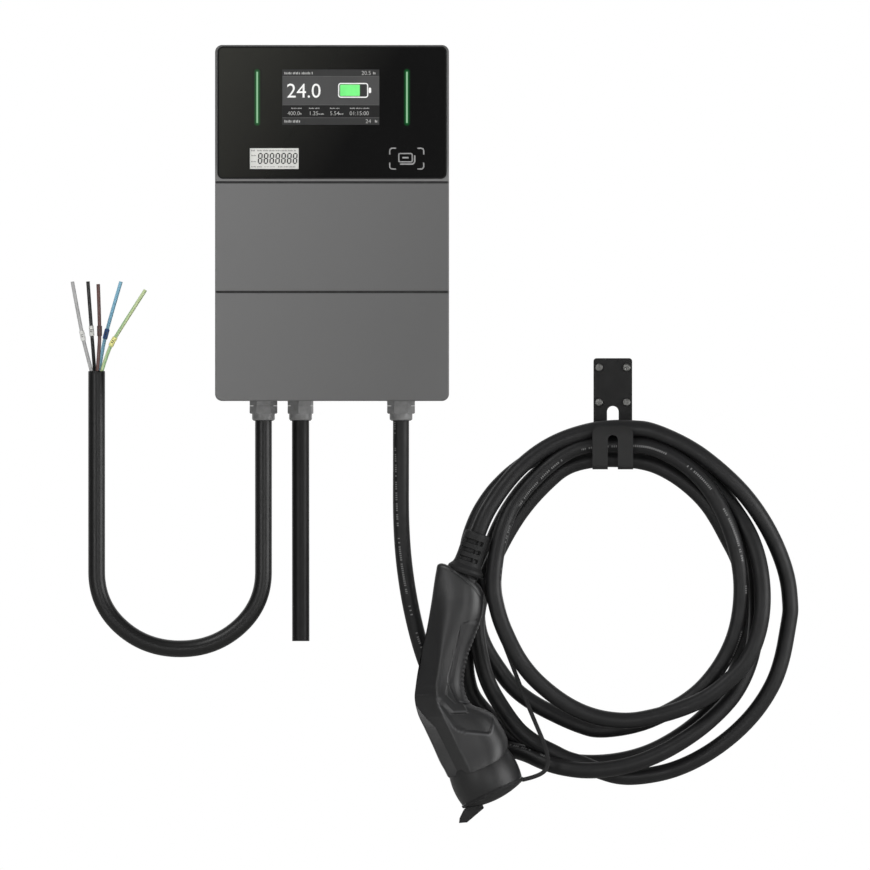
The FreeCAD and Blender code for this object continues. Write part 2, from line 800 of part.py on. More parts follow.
def cover_screws():
    screws = []
    for x, _, z in boss_places(box_low, box_top):
        seat = rear_y - screw_head_h
        screw = screw_solid(x, seat, z, -1, cover_screw_len - screw_head_h, screw_r, screw_head_r, screw_head_h)
        socket = hex_prism(0, 0, 0, screw_drive, screw_drive_h + past, 0.0)
        socket.Placement = Placement(Vector(x, rear_y + past, z), Rotation(Vector(1, 0, 0), 90))
        screws.append(screw.cut(socket))
    return Part.makeCompound(screws)


def bracket_screw_places():
    x, z = bracket_w / 2.0 + bracket_flange / 2.0, bracket_screw_dz / 2.0
    return [(sx * x, sz * z) for sx in (-1, 1) for sz in (-1, 1)]


def wall_bracket():
    """Top-hat plate: the middle lies on the wall, two flanges carry the housing."""
    t, x, z = bracket_t, bracket_w / 2.0, bracket_h / 2.0
    reach = x + bracket_flange
    profile = [
        (-x, 0), (x, 0), (x, rear_y + t), (reach, rear_y + t), (reach, rear_y),
        (x - t, rear_y), (x - t, -t), (-x + t, -t), (-x + t, rear_y), (-reach, rear_y),
        (-reach, rear_y + t), (-x, rear_y + t), (-x, 0),
    ]
    face = Part.Face(Part.makePolygon([Vector(px, py, -z) for px, py in profile]))
    body = face.extrude(Vector(0, 0, 2 * z))
    bends = [
        e for e in body.Edges
        if abs(e.Vertexes[0].X - e.Vertexes[1].X) < 0.01 and abs(e.Length - 2 * z) < 0.01
        and abs(abs(e.Vertexes[0].X) - x) < t + 0.1
    ]
    body = body.makeFillet(bracket_fold_r, bends)
    cuts = []
    for sx in (-0.5, 0.5):
        for sz in (-0.5, 0.5):
            hx, hz = sx * bracket_hole_dx, sz * bracket_hole_dz
            cuts.append(rod((hx, past, hz), (hx, -t - past, hz), bracket_hole_r))
    for sx, sz in bracket_screw_places():
        cuts.append(rod((sx, rear_y - past, sz), (sx, rear_y + t + past, sz), bracket_screw_r + slide_gap))
    w, h = bracket_window_w / 2.0, bracket_window_h / 2.0
    cuts.append(plate(-w, w, -h, h, -t - past, past, (bracket_window_r,) * 4))
    return body.cut(cuts)


def bracket_screws():
    y = rear_y - shell_t
    size = (bracket_screw_grip, bracket_screw_r, bracket_head_r, bracket_head_h)
    return Part.makeCompound([screw_solid(x, y, z, 1, *size) for x, z in bracket_screw_places()])


def control_posts():
    x, z = control_w / 2.0 - control_post_inset, control_h / 2.0 - control_post_inset
    return [(sx * x, control_z + sz * z) for sx in (-1, 1) for sz in (-1, 1)]


def control_face_y():
    return rear_y - shell_t - control_post - board_t


def control_board():
    y0, y1 = control_face_y(), control_face_y() + board_t
    x, low, high = control_w / 2.0, control_z - control_h / 2.0, control_z + control_h / 2.0
    board = plate(-x, x, low, high, y0, y1, (pcb_corner_r,) * 4)
    parts = blocks(0.0, control_z, y0, -1, control_parts)
    for px, pz, radius, height in control_cans:
        parts.append(rod((px, y0, control_z + pz), (px, y0 - height, control_z + pz), radius))
    holes = [rod((px, y0 - past, pz), (px, y1 + past, pz), pcb_hole_r) for px, pz in control_posts()]
    return board.fuse(parts).cut(holes).removeSplitter()


def control_screws():
    y = control_face_y()
    size = (board_t + pcb_screw_grip, pcb_screw_r, pcb_head_r, pcb_head_h)
    return Part.makeCompound([screw_solid(x, y, z, 1, *size) for x, z in control_posts()])


def rail_back_y():
    return rear_y - shell_t - rail_post


def din_rail():
    t, h, w = rail_t, rail_h / 2.0, rail_channel_w / 2.0
    y = rail_back_y()
    front = y - rail_hat
    profile = [
        (-w, y), (w, y), (w, front + t), (h, front + t), (h, front), (w - t, front), (w - t, y - t),
        (-w + t, y - t), (-w + t, front), (-h, front), (-h, front + t), (-w, front + t), (-w, y),
    ]
    x = rail_len / 2.0
    face = Part.Face(Part.makePolygon([Vector(-x, py, rail_z + pz) for pz, py in profile]))
    return face.extrude(Vector(rail_len, 0, 0))


def rail_device(x0, width, front_windows):
    """DIN-rail device with stepped front, wire ways at top and bottom and windows in its nose."""
    back = rail_back_y() - rail_hat
    z0, z1 = rail_z - device_h / 2.0, rail_z + device_h / 2.0
    shoulder, nose = back - device_shoulder, back - device_depth
    low = box(x0, x0 + width, back, shoulder, z0, z1)
    high = box(x0, x0 + width, back, nose, rail_z - device_nose_h / 2.0, rail_z + device_nose_h / 2.0)
    ways = max(2, int(width // device_way_w))
    wire_y = back - device_wire_y
    cuts = []
    for k in range(ways):
        x = x0 + width * (k + 0.5) / ways
        for z, inward in ((z0, 1), (z1, -1)):
            deep = z + inward * device_way_deep
            cuts.append(rod((x, wire_y, z - inward * past), (x, wire_y, deep), device_wire_r))
            cuts.append(rod((x, shoulder - past, deep), (x, shoulder + device_driver_deep, deep), device_driver_r))
    for wx, wz, ww, wh in front_windows:
        left, low_z = x0 + wx, rail_z + wz
        cuts.append(box(left, left + ww, nose - past, nose + device_window_deep, low_z, low_z + wh))
    return low.fuse(high).cut(cuts).removeSplitter()


def rail_devices():
    """Meter, contactor and fault current monitor, side by side on the rail."""
    devices, x = [], -rail_len / 2.0 + rail_lead
    widths = (meter_w, contactor_w, monitor_w)
    for width, front_windows in zip(widths, (meter_windows, contactor_windows, monitor_windows)):
        devices.append(rail_device(x, width, front_windows))
        x += width + device_gap
    return devices


def terminal_block(x):
    """Row of screw terminals on the back wall: wire mouths below, screws towards the front."""
    back = rear_y - shell_t
    front = back - terminal_d
    x0, x1 = x - terminal_w / 2.0, x + terminal_w / 2.0
    z0, z1 = terminal_z - terminal_h / 2.0, terminal_z + terminal_h / 2.0
    body = box(x0, x1, back, front, z0, z1)
    cuts = [box(x0, x1, front, front + terminal_step, z0, z0 + terminal_step)]
    pitch = terminal_w / terminal_ways
    mid, screw_z = back - terminal_d / 2.0, terminal_z + terminal_driver_up
    for k in range(terminal_ways):
        cx = x0 + pitch * (k + 0.5)
        cuts.append(rod((cx, mid, z0 - past), (cx, mid, z0 + terminal_wire_deep), terminal_wire_r))
        cuts.append(rod((cx, front - past, screw_z), (cx, front + terminal_step, screw_z), terminal_driver_r))
    for k in range(1, terminal_ways):
        cx = x0 + pitch * k
        g = terminal_groove / 2.0
        cuts.append(box(cx - g, cx + g, front - past, front + 2 * g, z0 - past, z1 + past))
    return body.cut(cuts)


def gland_nut_top():
    return box_low - gland_flange_h - seat_gap


def gland_body(x, cable_d, turn):
    flange = hex_prism(x, gland_y, box_low - gland_flange_h, gland_hex, gland_flange_h, turn)
    top = box_low + shell_t + gland_inside
    low = box_low - gland_flange_h - gland_neck_h
    thread = rod((x, gland_y, box_low), (x, gland_y, top), gland_thread_r)
    neck = rod((x, gland_y, box_low - gland_flange_h), (x, gland_y, low), gland_neck_r)
    bore = rod((x, gland_y, low - past), (x, gland_y, top + past), cable_d / 2.0 + slide_gap)
    return flange.fuse([thread, neck]).cut(bore).removeSplitter()


def gland_nut(x, cable_d, turn):
    """Domed nut: hexagon with a chamfered lower end, then the round dome that squeezes the seal."""
    top = gland_nut_top()
    low = top - gland_nut_h
    body = hex_prism(x, gland_y, low, gland_hex, gland_nut_h, turn)
    corner = gland_hex / math.sqrt(3.0) - gland_chamfer
    body = body.common(Part.makeCone(corner, corner + gland_nut_h, gland_nut_h, Vector(x, gland_y, low)))
    dome_end = low - gland_dome_h
    dome = Part.makeCylinder(gland_dome_r, gland_dome_h, Vector(x, gland_y, dome_end))
    rims = [e for e in dome.Edges if e.Closed and abs(e.BoundBox.ZMax - dome_end) < 0.01]
    dome = dome.makeFillet(gland_dome_round, rims)
    mouth = rod((x, gland_y, low), (x, gland_y, dome_end - past), cable_d / 2.0 + gland_seal_t)
    hollow = rod((x, gland_y, top + past), (x, gland_y, low), gland_neck_r + slide_gap)
    return body.fuse(dome).cut([hollow, mouth]).removeSplitter()


def gland_seal(x, cable_d):
    high = gland_nut_top() - gland_nut_h
    low = high - gland_dome_h - gland_seal_proud
    ring = rod((x, gland_y, high), (x, gland_y, low), cable_d / 2.0 + gland_seal_t - slide_gap)
    return ring.cut(rod((x, gland_y, high + past), (x, gland_y, low - past), cable_d / 2.0 + slide_gap))


def gland_locknut(x, turn):
    low = box_low + shell_t
    nut = hex_prism(x, gland_y, low, locknut_hex, locknut_h, turn)
    thread = rod((x, gland_y, low - past), (x, gland_y, low + locknut_h + past), gland_thread_r + slide_gap)
    return nut.cut(thread)


def placed_route(route):
    """Route of a core with Y counted from the wall instead of the cable's axis."""
    return tuple((x, gland_y + y, z) for x, y, z in route)


def point_at_height(route, z):
    """Place on a rising route at height z, and its direction there."""
    for p, q in zip(route, route[1:]):
        if p[2] <= z <= q[2]:
            start, run = Vector(*p), Vector(*q).sub(Vector(*p))
            return start.add(Vector(run).multiply((z - p[2]) / run.z)), run.normalize()
    raise ValueError(f"the route has no point at height {z}")


def core_sleeves():
    """Marker sleeves, each cut from a wider tube on its core's own path."""
    sleeves = []
    for height, route in zip(sleeve_heights, core_routes.values()):
        placed = placed_route(route)
        wire, _ = route_path(placed)
        middle, way = point_at_height(placed, height)
        start = middle.sub(Vector(way).multiply(sleeve_len / 2.0))
        window = Part.makeCylinder(2.0 * sleeve_r, sleeve_len, start, way)
        inside = tube_on_wire(wire, placed, core_d + 2.0 * slide_gap)
        sleeves.append(tube_on_wire(wire, placed, 2.0 * sleeve_r).common(window).cut(inside))
    return Part.makeCompound(sleeves)


def charging_coil():
    """Closed outer shape of the coiled cable: two ring layers with one hole."""
    rear = slab(open_spline_loop(coil_rear_outer, coil_back_y), coil_step_y - coil_back_y)
    front = slab(open_spline_loop(coil_front_outer, coil_step_y), coil_front_y - coil_step_y)
    hole = slab(closed_spline(coil_hole, coil_back_y + past), coil_front_y - coil_back_y - 2 * past)
    return rear.fuse(front).cut(hole).removeSplitter()


def cable_hook():
    """Bent sheet: wall plate, shelf and front tab, with one slot through each."""
    t, r = hook_t, hook_bend_r
    x0, x1 = hook_x - hook_w / 2.0, hook_x + hook_w / 2.0
    tx0, tx1 = hook_x - hook_tab_w / 2.0, hook_x + hook_tab_w / 2.0
    under, bend_z, tab_y = hook_shelf_z - t, hook_shelf_z + r, -t - hook_tray
    back = plate(x0, x1, bend_z, hook_top_z, -t, 0, (0.0, 0.0, hook_corner_r, hook_corner_r))
    shelf = box(x0, x1, -t - r, tab_y + r, under, hook_shelf_z)
    tab = plate(tx0, tx1, bend_z, hook_tab_top_z, tab_y - t, tab_y, (0.0, 0.0, hook_tab_corner_r, hook_tab_corner_r))
    bends = []
    for cy, sign, low, high in ((-t - r, 1, x0, x1), (tab_y + r, -1, tx0, tx1)):
        axis = Vector(low, cy, bend_z)
        outer = Part.makeCylinder(r + t, high - low, axis, Vector(1, 0, 0))
        inner = Part.makeCylinder(r, high - low, axis, Vector(1, 0, 0))
        quarter = box(low, high, cy, cy + sign * (r + t), under, bend_z)
        bends.append(outer.cut(inner).common(quarter))
    w, v = hook_slot_w / 2.0, hook_tab_slot_w / 2.0
    low = under - past
    cuts = [
        plate(hook_x - w, hook_x + w, low, hook_slot_top_z, -t - r - past, past, (0.0, 0.0, w, w)),
        box(hook_x - v, hook_x + v, -t, tab_y - t - past, low, hook_shelf_z + past),
        plate(hook_x - v, hook_x + v, low, hook_tab_slot_top_z, tab_y - t - past, tab_y + r + past, (0.0, 0.0, v, v)),
    ]
    cuts += [rod((x, past, z), (x, -t - past, z), hook_hole_r) for x, z in hook_screw_places()]
    return back.fuse([shelf, tab] + bends).cut(cuts).removeSplitter()


def hook_screw_places():
    x, z = hook_screw_dx / 2.0, hook_screw_dz / 2.0
    return [(hook_x + sx * x, hook_screw_z + sz * z) for sx in (-1, 1) for sz in (-1, 1)]


def hook_screws():
    """Pan-head wall screws through the hook's plate; the shanks stand out of its back."""
    screws = []
    seat = -hook_t
    top = seat - hook_screw_head_h
    w, t, deep = hook_cross_w / 2.0, hook_cross_t / 2.0, top + hook_cross_deep
    for x, z in hook_screw_places():
        head = Part.makeCylinder(hook_screw_head_r, hook_screw_head_h, Vector(x, seat, z), Vector(0, -1, 0))
        rim = [e for e in head.Edges if e.Closed and abs(e.BoundBox.YMin - top) < 0.01]
        head = head.makeFillet(hook_head_round, rim)
        collar = rod((x, seat, z), (x, 0, z), hook_screw_r)
        shank = rod((x, 0, z), (x, hook_screw_len, z), hook_shank_r)
        cross = [
            box(x - w, x + w, top - past, deep, z - t, z + t),
            box(x - t, x + t, top - past, deep, z - w, z + w),
        ]
        screws.append(head.fuse([collar, shank]).cut(cross).removeSplitter())
    return Part.makeCompound(screws)


def plug_form():
    """Outer form of the connector: its side outline carried outwards, shrinking to the spine as a round section."""
    halves = []
    for side in (-1, 1):
        wires = []
        for level in section_levels:
            share = math.sqrt(1.0 - (level / section_r) ** 2)
            points = []
            for (x, z), (sx, sz) in plug_outline:
                points.append(Vector(sx + (x - sx) * share, plug_y + side * level, sz + (z - sz) * share))
            wires.append(Part.makePolygon(points + points[:1]))
        halves.append(Part.makeLoft(wires, True, False))
    outline = [(plug_y - t, z) for z, t in plug_thickness] + [(plug_y + t, z) for z, t in reversed(plug_thickness)]
    reach = 2.0 * max(x for (x, _), _ in plug_outline)
    limits = Part.Face(Part.makePolygon([Vector(0, y, z) for y, z in outline + outline[:1]]))
    limits = limits.extrude(Vector(reach, 0, 0))
    return [half.common(limits) for half in halves]


def nose_place():
    return Placement(Vector(nose_x, plug_y, nose_z), Rotation(Vector(0, 1, 0), -nose_tilt))


def in_nose_frame(shape):
    shape.Placement = nose_place().multiply(shape.Placement)
    return shape


def disc(v0, v1, radius, u=0.0, w=0.0):
    """Cylinder along the nose axis between two places on it, in the nose's own frame."""
    return Part.makeCylinder(radius, abs(v1 - v0), Vector(u, w, -min(v0, v1)), Vector(0, 0, -1))


def contact_places():
    """Power and signal contacts of the standard face: across, sideways, radius and radius of the tower."""
    places = [(0.0, 0.0, contact_r, tower_r)]
    for angle in power_angles:
        a = math.radians(angle)
        places.append((contact_ring_r * math.cos(a), contact_ring_r * math.sin(a), contact_r, tower_r))
    for w in (-signal_w, signal_w):
        places.append((signal_u, w, contact_small_r, tower_small_r))
    return places


def contact_insert():
    base = disc(-insert_back, nose_floor, insert_r)
    end, floor = nose_floor + tower_len, nose_floor + past
    towers, bores = [], []
    for u, w, r, outer in contact_places():
        towers.append(disc(nose_floor - past, end, outer, u, w))
        bores.append(disc(floor, end + past, r + contact_wall + slide_gap, u, w))
    return in_nose_frame(base.fuse(towers).cut(bores).removeSplitter())


def contact_sleeves():
    sleeves = []
    floor, end = nose_floor + past, nose_floor + tower_len - contact_short
    for u, w, r, _ in contact_places():
        tube = disc(floor, end, r + contact_wall, u, w)
        sleeves.append(in_nose_frame(tube.cut(disc(floor + contact_floor, end + past, r, u, w))))
    return Part.makeCompound(sleeves)


def nose_shroud():
    """Round shroud with a slight belly, open at the front, with a floor that holds the insert."""
    mid = nose_len / 2.0
    outside = Part.Arc(Vector(nose_r0, 0, 0), Vector(nose_r1, 0, -mid), Vector(nose_r2, 0, -nose_len))
    inner_r = nose_r2 - nose_wall
    edges = [
        outside.toShape(),
        Part.makeLine(Vector(nose_r2, 0, -nose_len), Vector(inner_r, 0, -nose_len)),
        Part.makeLine(Vector(inner_r, 0, -nose_len), Vector(inner_r, 0, -nose_floor)),
        Part.makeLine(Vector(inner_r, 0, -nose_floor), Vector(insert_r + slide_gap, 0, -nose_floor)),
        Part.makeLine(Vector(insert_r + slide_gap, 0, -nose_floor), Vector(insert_r + slide_gap, 0, 0)),
        Part.makeLine(Vector(insert_r + slide_gap, 0, 0), Vector(nose_r0, 0, 0)),
    ]
    face = Part.Face(Part.Wire(edges))
    return in_nose_frame(face.revolve(Vector(0, 0, 0), Vector(0, 0, 1), 360))


def seal_ring(front):
    """Ring behind the shroud's joint; front is how far it reaches along the nose axis."""
    outer = nose_r0 - seal_inset
    return in_nose_frame(disc(-seal_t, front, outer).cut(disc(-seal_t - past, front + past, outer - seal_w)))


def nose_seal():
    return seal_ring(0.0)


def boot_place():
    return Placement(Vector(boot_x, plug_y, boot_z), Rotation(Vector(0, 1, 0), boot_tilt))


def along_boot(start, length, radius):
    """Cylinder on the boot's axis."""
    cylinder = Part.makeCylinder(radius, length, Vector(0, 0, start), Vector(0, 0, 1))
    cylinder.Placement = boot_place()
    return cylinder


def cable_bore():
    """Room for the cable's end inside the connector."""
    return along_boot(-cable_bore_deep, cable_bore_len, charge_d / 2.0 + slide_gap)


def clamp_block():
    """Clamp that grips the cable inside the shell."""
    s = clamp_size / 2.0
    block = Part.makeBox(2 * s, 2 * s, clamp_len, Vector(-s, -s, -clamp_place - clamp_len / 2.0))
    block = block.makeFillet(clamp_round, [e for e in block.Edges if abs(e.Length - clamp_len) < 0.01])
    block.Placement = boot_place()
    return block


def cable_clamp():
    return clamp_block().cut(cable_bore())


def connector_screws():
    y = plug_y + plug_screw_seat
    size = (plug_screw_len, plug_screw_r, plug_screw_head_r, plug_screw_head_h)
    return Part.makeCompound([screw_solid(x, y, z, -1, *size) for x, z in plug_screws])


def prism(outline, half_y):
    """Prism of that outline through the connector, half_y to each side of its parting plane."""
    points = [Vector(x, plug_y - half_y, z) for x, z in outline + outline[:1]]
    return Part.Face(Part.makePolygon(points)).extrude(Vector(0, 2 * half_y, 0))


def grip_inlay():
    """Soft inlay on the finger side of the grip, a skin wrapped round the shell's core."""
    front, rear = plug_form()
    skin = front.fuse(rear).common(prism(inlay_outline, 2.0 * grip_half))
    return skin.cut(prism(inlay_core, grip_half - inlay_t)).removeSplitter()


def connector_shells():
    """Both halves of the connector's housing, with the pockets for what they hold."""
    pocket = in_nose_frame(disc(-insert_back - past, past, insert_r + slide_gap))
    cuts = [pocket, seal_ring(past), cable_bore(), clamp_block(), grip_inlay()]
    seat = plug_y + plug_screw_seat
    end = seat - plug_screw_len - past
    for x, z in plug_screws:
        cuts.append(rod((x, plug_y + section_r, z), (x, seat, z), plug_screw_head_r + slide_gap))
        cuts.append(rod((x, seat + past, z), (x, end, z), plug_screw_r + slide_gap))
    front, rear = plug_form()
    return front.cut(cuts), rear.cut(cuts)


def strain_relief():
    """Boot with rows of slots that let it bend, each row turned from the last; its foot is in the shell's top."""
    boot = Part.makeCone(boot_r0, boot_r1, boot_len, Vector(0, 0, 0), Vector(0, 0, 1))
    boot = boot.makeFillet(boot_round, [e for e in boot.Edges if e.Closed and e.BoundBox.ZMin > boot_len - 0.01])
    pitch = (boot_len - boot_foot - boot_head) / boot_rows
    cuts = []
    for row in range(boot_rows):
        for quarter in range(4):
            corner = Vector(charge_d / 2.0 + boot_sleeve_t, -boot_slot_len / 2.0, boot_foot + pitch * row)
            slot = Part.makeBox(boot_r0, boot_slot_len, boot_slot_w, corner)
            slot.rotate(Vector(0, 0, 0), Vector(0, 0, 1), 45.0 + 90.0 * quarter + 45.0 * (row % 2))
            cuts.append(slot)
    boot = boot.cut(cuts)
    boot.Placement = boot_place()
    return boot.cut([cable_bore()] + plug_form())


def dust_cap():
    """Soft domed cap: rim against the shroud's end, spigot inside it, pull tab on one side."""
    seat = nose_len + slide_gap
    rim_end = seat + cap_rim_t
    dome_r = (cap_rim_r**2 + cap_dome**2) / (2.0 * cap_dome)
    centre = Vector(0, 0, dome_r - rim_end - cap_dome)
    inside_r = cap_spigot_r - cap_spigot_wall
    rim = disc(seat, rim_end, cap_rim_r)
    dome = Part.makeSphere(dome_r, centre).common(disc(seat, rim_end + 2.0 * cap_dome, cap_rim_r))
    hollow = Part.makeSphere(dome_r - cap_wall, centre).common(disc(seat - past, rim_end + cap_dome, inside_r))
    spigot = disc(seat - cap_spigot_len, rim_end, cap_spigot_r)
    bore = disc(seat - cap_spigot_len - past, rim_end, inside_r)
    corners = [Vector(u, -cap_tab_w / 2.0, -v) for u, v in cap_tab + cap_tab[:1]]
    tab = Part.Face(Part.makePolygon(corners)).extrude(Vector(0, cap_tab_w, 0))
    return in_nose_frame(rim.fuse([dome, spigot, tab]).cut([hollow, bore]).removeSplitter())


def cap_tether():
    """Flat strap on its own route, its broad side towards the front."""
    wire, _ = route_path(tether_route)
    first, second = Vector(*tether_route[0]), Vector(*tether_route[1])
    way = second.sub(first).normalize()
    side = way.cross(Vector(0, 1, 0)).normalize()
    up = side.cross(way).normalize()
    corners = []
    for a, b in ((-1, -1), (1, -1), (1, 1), (-1, 1), (-1, -1)):
        corners.append(first.add(Vector(side).multiply(a * tether_w / 2)).add(Vector(up).multiply(b * tether_t / 2)))
    return wire.makePipeShell([Part.makePolygon(corners)], True, False)


def export(name, shape):
    for solid in shape.Solids:
        if not solid.isValid():
            print(f"{name}: invalid solid")
    if not shape.Solids:
        print(f"{name}: no solid")
    shape.exportStep(f"parts/{name}.step")


def main():
    os.makedirs("parts", exist_ok=True)
    export("wall_bracket", wall_bracket())
    export("bracket_screws", bracket_screws())
    export("rear_housing", rear_housing())
    export("housing_gasket", housing_gasket())
    export("upper_cover", upper_cover())
    export("middle_cover", middle_cover())
    export("lower_cover", lower_cover())
    export("cover_screws", cover_screws())
    export("glass_panel", glass_panel())
    export("display_module", screen(display_x, display_z, display_w, display_h, display_rim))
    export("meter_display", screen(lcd_x, lcd_z, lcd_w, lcd_h, lcd_rim))
    export("light_guides", light_guides())
    export("display_board", display_board())
    export("board_screws", board_screws())
    export("card_antenna", card_antenna())
    export("control_board", control_board())
    export("control_screws", control_screws())
    export("din_rail", din_rail())
    for name, device in zip(("energy_meter", "main_contactor", "fault_monitor"), rail_devices()):
        export(name, device)
    export("supply_terminals", terminal_block(supply_x))
    export("output_terminals", terminal_block(output_x))
    for name, x, diameter, turn in glands:
        export(f"{name}_gland_body", gland_body(x, diameter, turn))
        export(f"{name}_gland_nut", gland_nut(x, diameter, turn))
        export(f"{name}_gland_seal", gland_seal(x, diameter))
        export(f"{name}_gland_locknut", gland_locknut(x, turn))
    export("supply_cable", tube_on_route("supply_cable", supply_route, supply_d))
    for name, route in core_routes.items():
        export(name, tube_on_route(name, placed_route(route), core_d))
    export("core_sleeves", core_sleeves())
    export("second_cable", tube_on_route("second_cable", second_route, second_d))
    coil = charging_coil()
    export("charging_cable_lead", tube_on_route("charging_cable_lead", lead_route, charge_d).cut(coil))
    export("charging_cable_end", tube_on_route("charging_cable_end", end_route, charge_d).cut(coil))
    export("charging_cable_coil", coil)
    export("cable_hook", cable_hook())
    export("hook_screws", hook_screws())
    front, rear = connector_shells()
    export("connector_shell_front", front)
    export("connector_shell_rear", rear)
    export("grip_inlay", grip_inlay())
    export("connector_screws", connector_screws())
    export("nose_shroud", nose_shroud())
    export("nose_seal", nose_seal())
    export("contact_insert", contact_insert())
    export("contact_sleeves", contact_sleeves())
    export("cable_clamp", cable_clamp())
    export("strain_relief", strain_relief())
    export("dust_cap", dust_cap())
    export("cap_tether", cap_tether())


main()
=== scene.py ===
import bpy
import numpy as np
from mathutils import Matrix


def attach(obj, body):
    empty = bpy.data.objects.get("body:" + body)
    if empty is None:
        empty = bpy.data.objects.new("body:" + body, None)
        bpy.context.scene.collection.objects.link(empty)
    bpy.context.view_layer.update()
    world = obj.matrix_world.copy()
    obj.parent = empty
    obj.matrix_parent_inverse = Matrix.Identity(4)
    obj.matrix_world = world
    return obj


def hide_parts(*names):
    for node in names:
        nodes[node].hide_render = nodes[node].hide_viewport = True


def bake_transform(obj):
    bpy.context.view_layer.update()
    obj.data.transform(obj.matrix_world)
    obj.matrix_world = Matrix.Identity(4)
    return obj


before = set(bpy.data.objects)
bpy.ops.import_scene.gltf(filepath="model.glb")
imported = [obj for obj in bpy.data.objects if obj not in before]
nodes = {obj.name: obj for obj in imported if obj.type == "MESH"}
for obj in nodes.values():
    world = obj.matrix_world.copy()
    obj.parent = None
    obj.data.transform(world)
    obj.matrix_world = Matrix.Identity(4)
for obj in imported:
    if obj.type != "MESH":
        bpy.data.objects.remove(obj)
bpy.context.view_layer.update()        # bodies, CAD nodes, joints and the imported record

scene = bpy.context.scene
mm = 0.001               # every length below is in millimetres, Blender's are in metres
tau = 2 * np.pi


# New object in the scene, at the origin
def newObject(name, data):
    placed = bpy.data.objects.new(name, data)
    scene.collection.objects.link(placed)
    return placed


# Camera: level and straight on, without perspective, as wide as the photograph
view = {"middleX": 101.2, "middleZ": -208.4, "across": 855.2, "away": 2500.0}
lens = bpy.data.cameras.new("camera")
lens.type = "ORTHO"
lens.ortho_scale = view["across"] * mm
camera = newObject("camera", lens)
camera.location = (view["middleX"] * mm, -view["away"] * mm, view["middleZ"] * mm)
camera.rotation_euler = (np.pi / 2, 0, 0)
scene.camera = camera


# sRGB hex value as linear colour, by the sRGB curve
def linear(code):
    parts = np.array([int(code[k:k + 2], 16) for k in (0, 2, 4)]) / 255
    return [*np.where(parts <= 0.04045, parts / 12.92, ((parts + 0.055) / 1.055) ** 2.4).tolist(), 1.0]


# One node with its settings. For each of its sockets, in order or by name or number, links gives a value, the
# output that feeds it, or a node whose first output does.
def addNode(tree, kind, links=(), **settings):
    node = tree.nodes.new("ShaderNode" + kind)
    for name, value in settings.items():
        setattr(node, name, value)
    for socket, value in links.items() if isinstance(links, dict) else enumerate(links):
        if isinstance(value, bpy.types.Node):
            value = value.outputs[0]
        if isinstance(value, bpy.types.NodeSocket):
            tree.links.new(value, node.inputs[socket])
        else:
            node.inputs[socket].default_value = value
    return node


materials = {}


# Empty node tree of a new material
def newFinish(name):
    materials[name] = bpy.data.materials.new(name)
    materials[name].use_nodes = True
    materials[name].node_tree.nodes.clear()
    return materials[name].node_tree


# A finish from its look: colour that drifts to a second one in patches, or evenly from one point of the
# drawing plane to another, which paints light and shade into the colour; roughness that drifts in patches,
# and a fine grain pressed into the surface. Sizes are in millimetres on the object.
def surfaceFinish(name, look):
    tree = newFinish(name)
    colour, shade = (linear(code) for code in look["colours"])
    place = addNode(tree, "TexCoord").outputs["Object"]
    patches = addNode(tree, "TexNoise", {"Vector": place, "Scale": 1 / (look["patch"] * mm), "Detail": 3})
    amount = addNode(tree, "MapRange", {"Value": patches, "From Min": 0.35, "From Max": 0.65})
    # the even drift is painted light and shade: the colour changes with the place, not with any lamp
    if "paintedLightDrift" in look:
        start, end = (np.array([x, 0, z]) * mm for x, z in look["paintedLightDrift"])
        way = (end - start) / ((end - start) ** 2).sum()
        low = float(start @ way)
        share = addNode(tree, "VectorMath", [place, way.tolist()], operation="DOT_PRODUCT").outputs["Value"]
        amount = addNode(tree, "MapRange", {"Value": share, "From Min": low, "From Max": low + 1})
    drifted = addNode(tree, "Mix", {0: amount, 6: colour, 7: shade}, data_type="RGBA")
    rough = addNode(tree, "MapRange", {"Value": patches, "From Min": 0.3, "From Max": 0.7,
                                       "To Min": look["rough"][0], "To Max": look["rough"][1]})
    grain = addNode(tree, "TexNoise", {"Vector": place, "Scale": 1 / (look["grain"] * mm), "Detail": 2})
    bump = addNode(tree, "Bump", {"Height": grain, "Distance": look["deep"] * mm})
    links = {"Base Color": drifted.outputs[2], "Roughness": rough, "Normal": bump}
    for key, socket in (("metallic", "Metallic"), ("ior", "IOR"), ("specular", "Specular IOR Level")):
        if key in look:
            links[socket] = look[key]
    if "glow" in look:
        links["Emission Color"], links["Emission Strength"] = colour, look["glow"]
    addNode(tree, "OutputMaterial", {"Surface": addNode(tree, "BsdfPrincipled", links)})
    return tree


# A further colour laid over a finish's own, by a share from 0 to 1
def paintOver(tree, share, colour):
    base = next(n for n in tree.nodes if n.type == "BSDF_PRINCIPLED").inputs["Base Color"]
    under = base.links[0].from_socket
    painted = addNode(tree, "Mix", {0: share, 6: under, 7: linear(colour)}, data_type="RGBA")
    tree.links.new(painted.outputs[2], base)


# What several finishes share
cover = {"patch": 60, "rough": (0.42, 0.5), "grain": 0.9, "deep": 0.012, "ior": 1.55}
jacket = {"colours": ("0B0B0B", "090909"), "patch": 20, "grain": 3, "deep": 0.02, "ior": 1.53}
polyamide = {"patch": 25, "grain": 0.8, "deep": 0.035, "ior": 1.53}
pane = {"patch": 30, "rough": (0.1, 0.16), "grain": 2, "deep": 0.003}
mark = {"patch": 4, "rough": (0.3, 0.4), "grain": 0.6, "deep": 0.01}
segment = {"patch": 4, "rough": (0.2, 0.3), "grain": 1, "deep": 0.004}
insulation = {"patch": 6, "rough": (0.3, 0.4), "grain": 1.2, "deep": 0.01, "ior": 1.53}
marker = {"patch": 3, "rough": (0.25, 0.35), "grain": 0.8, "deep": 0.01}

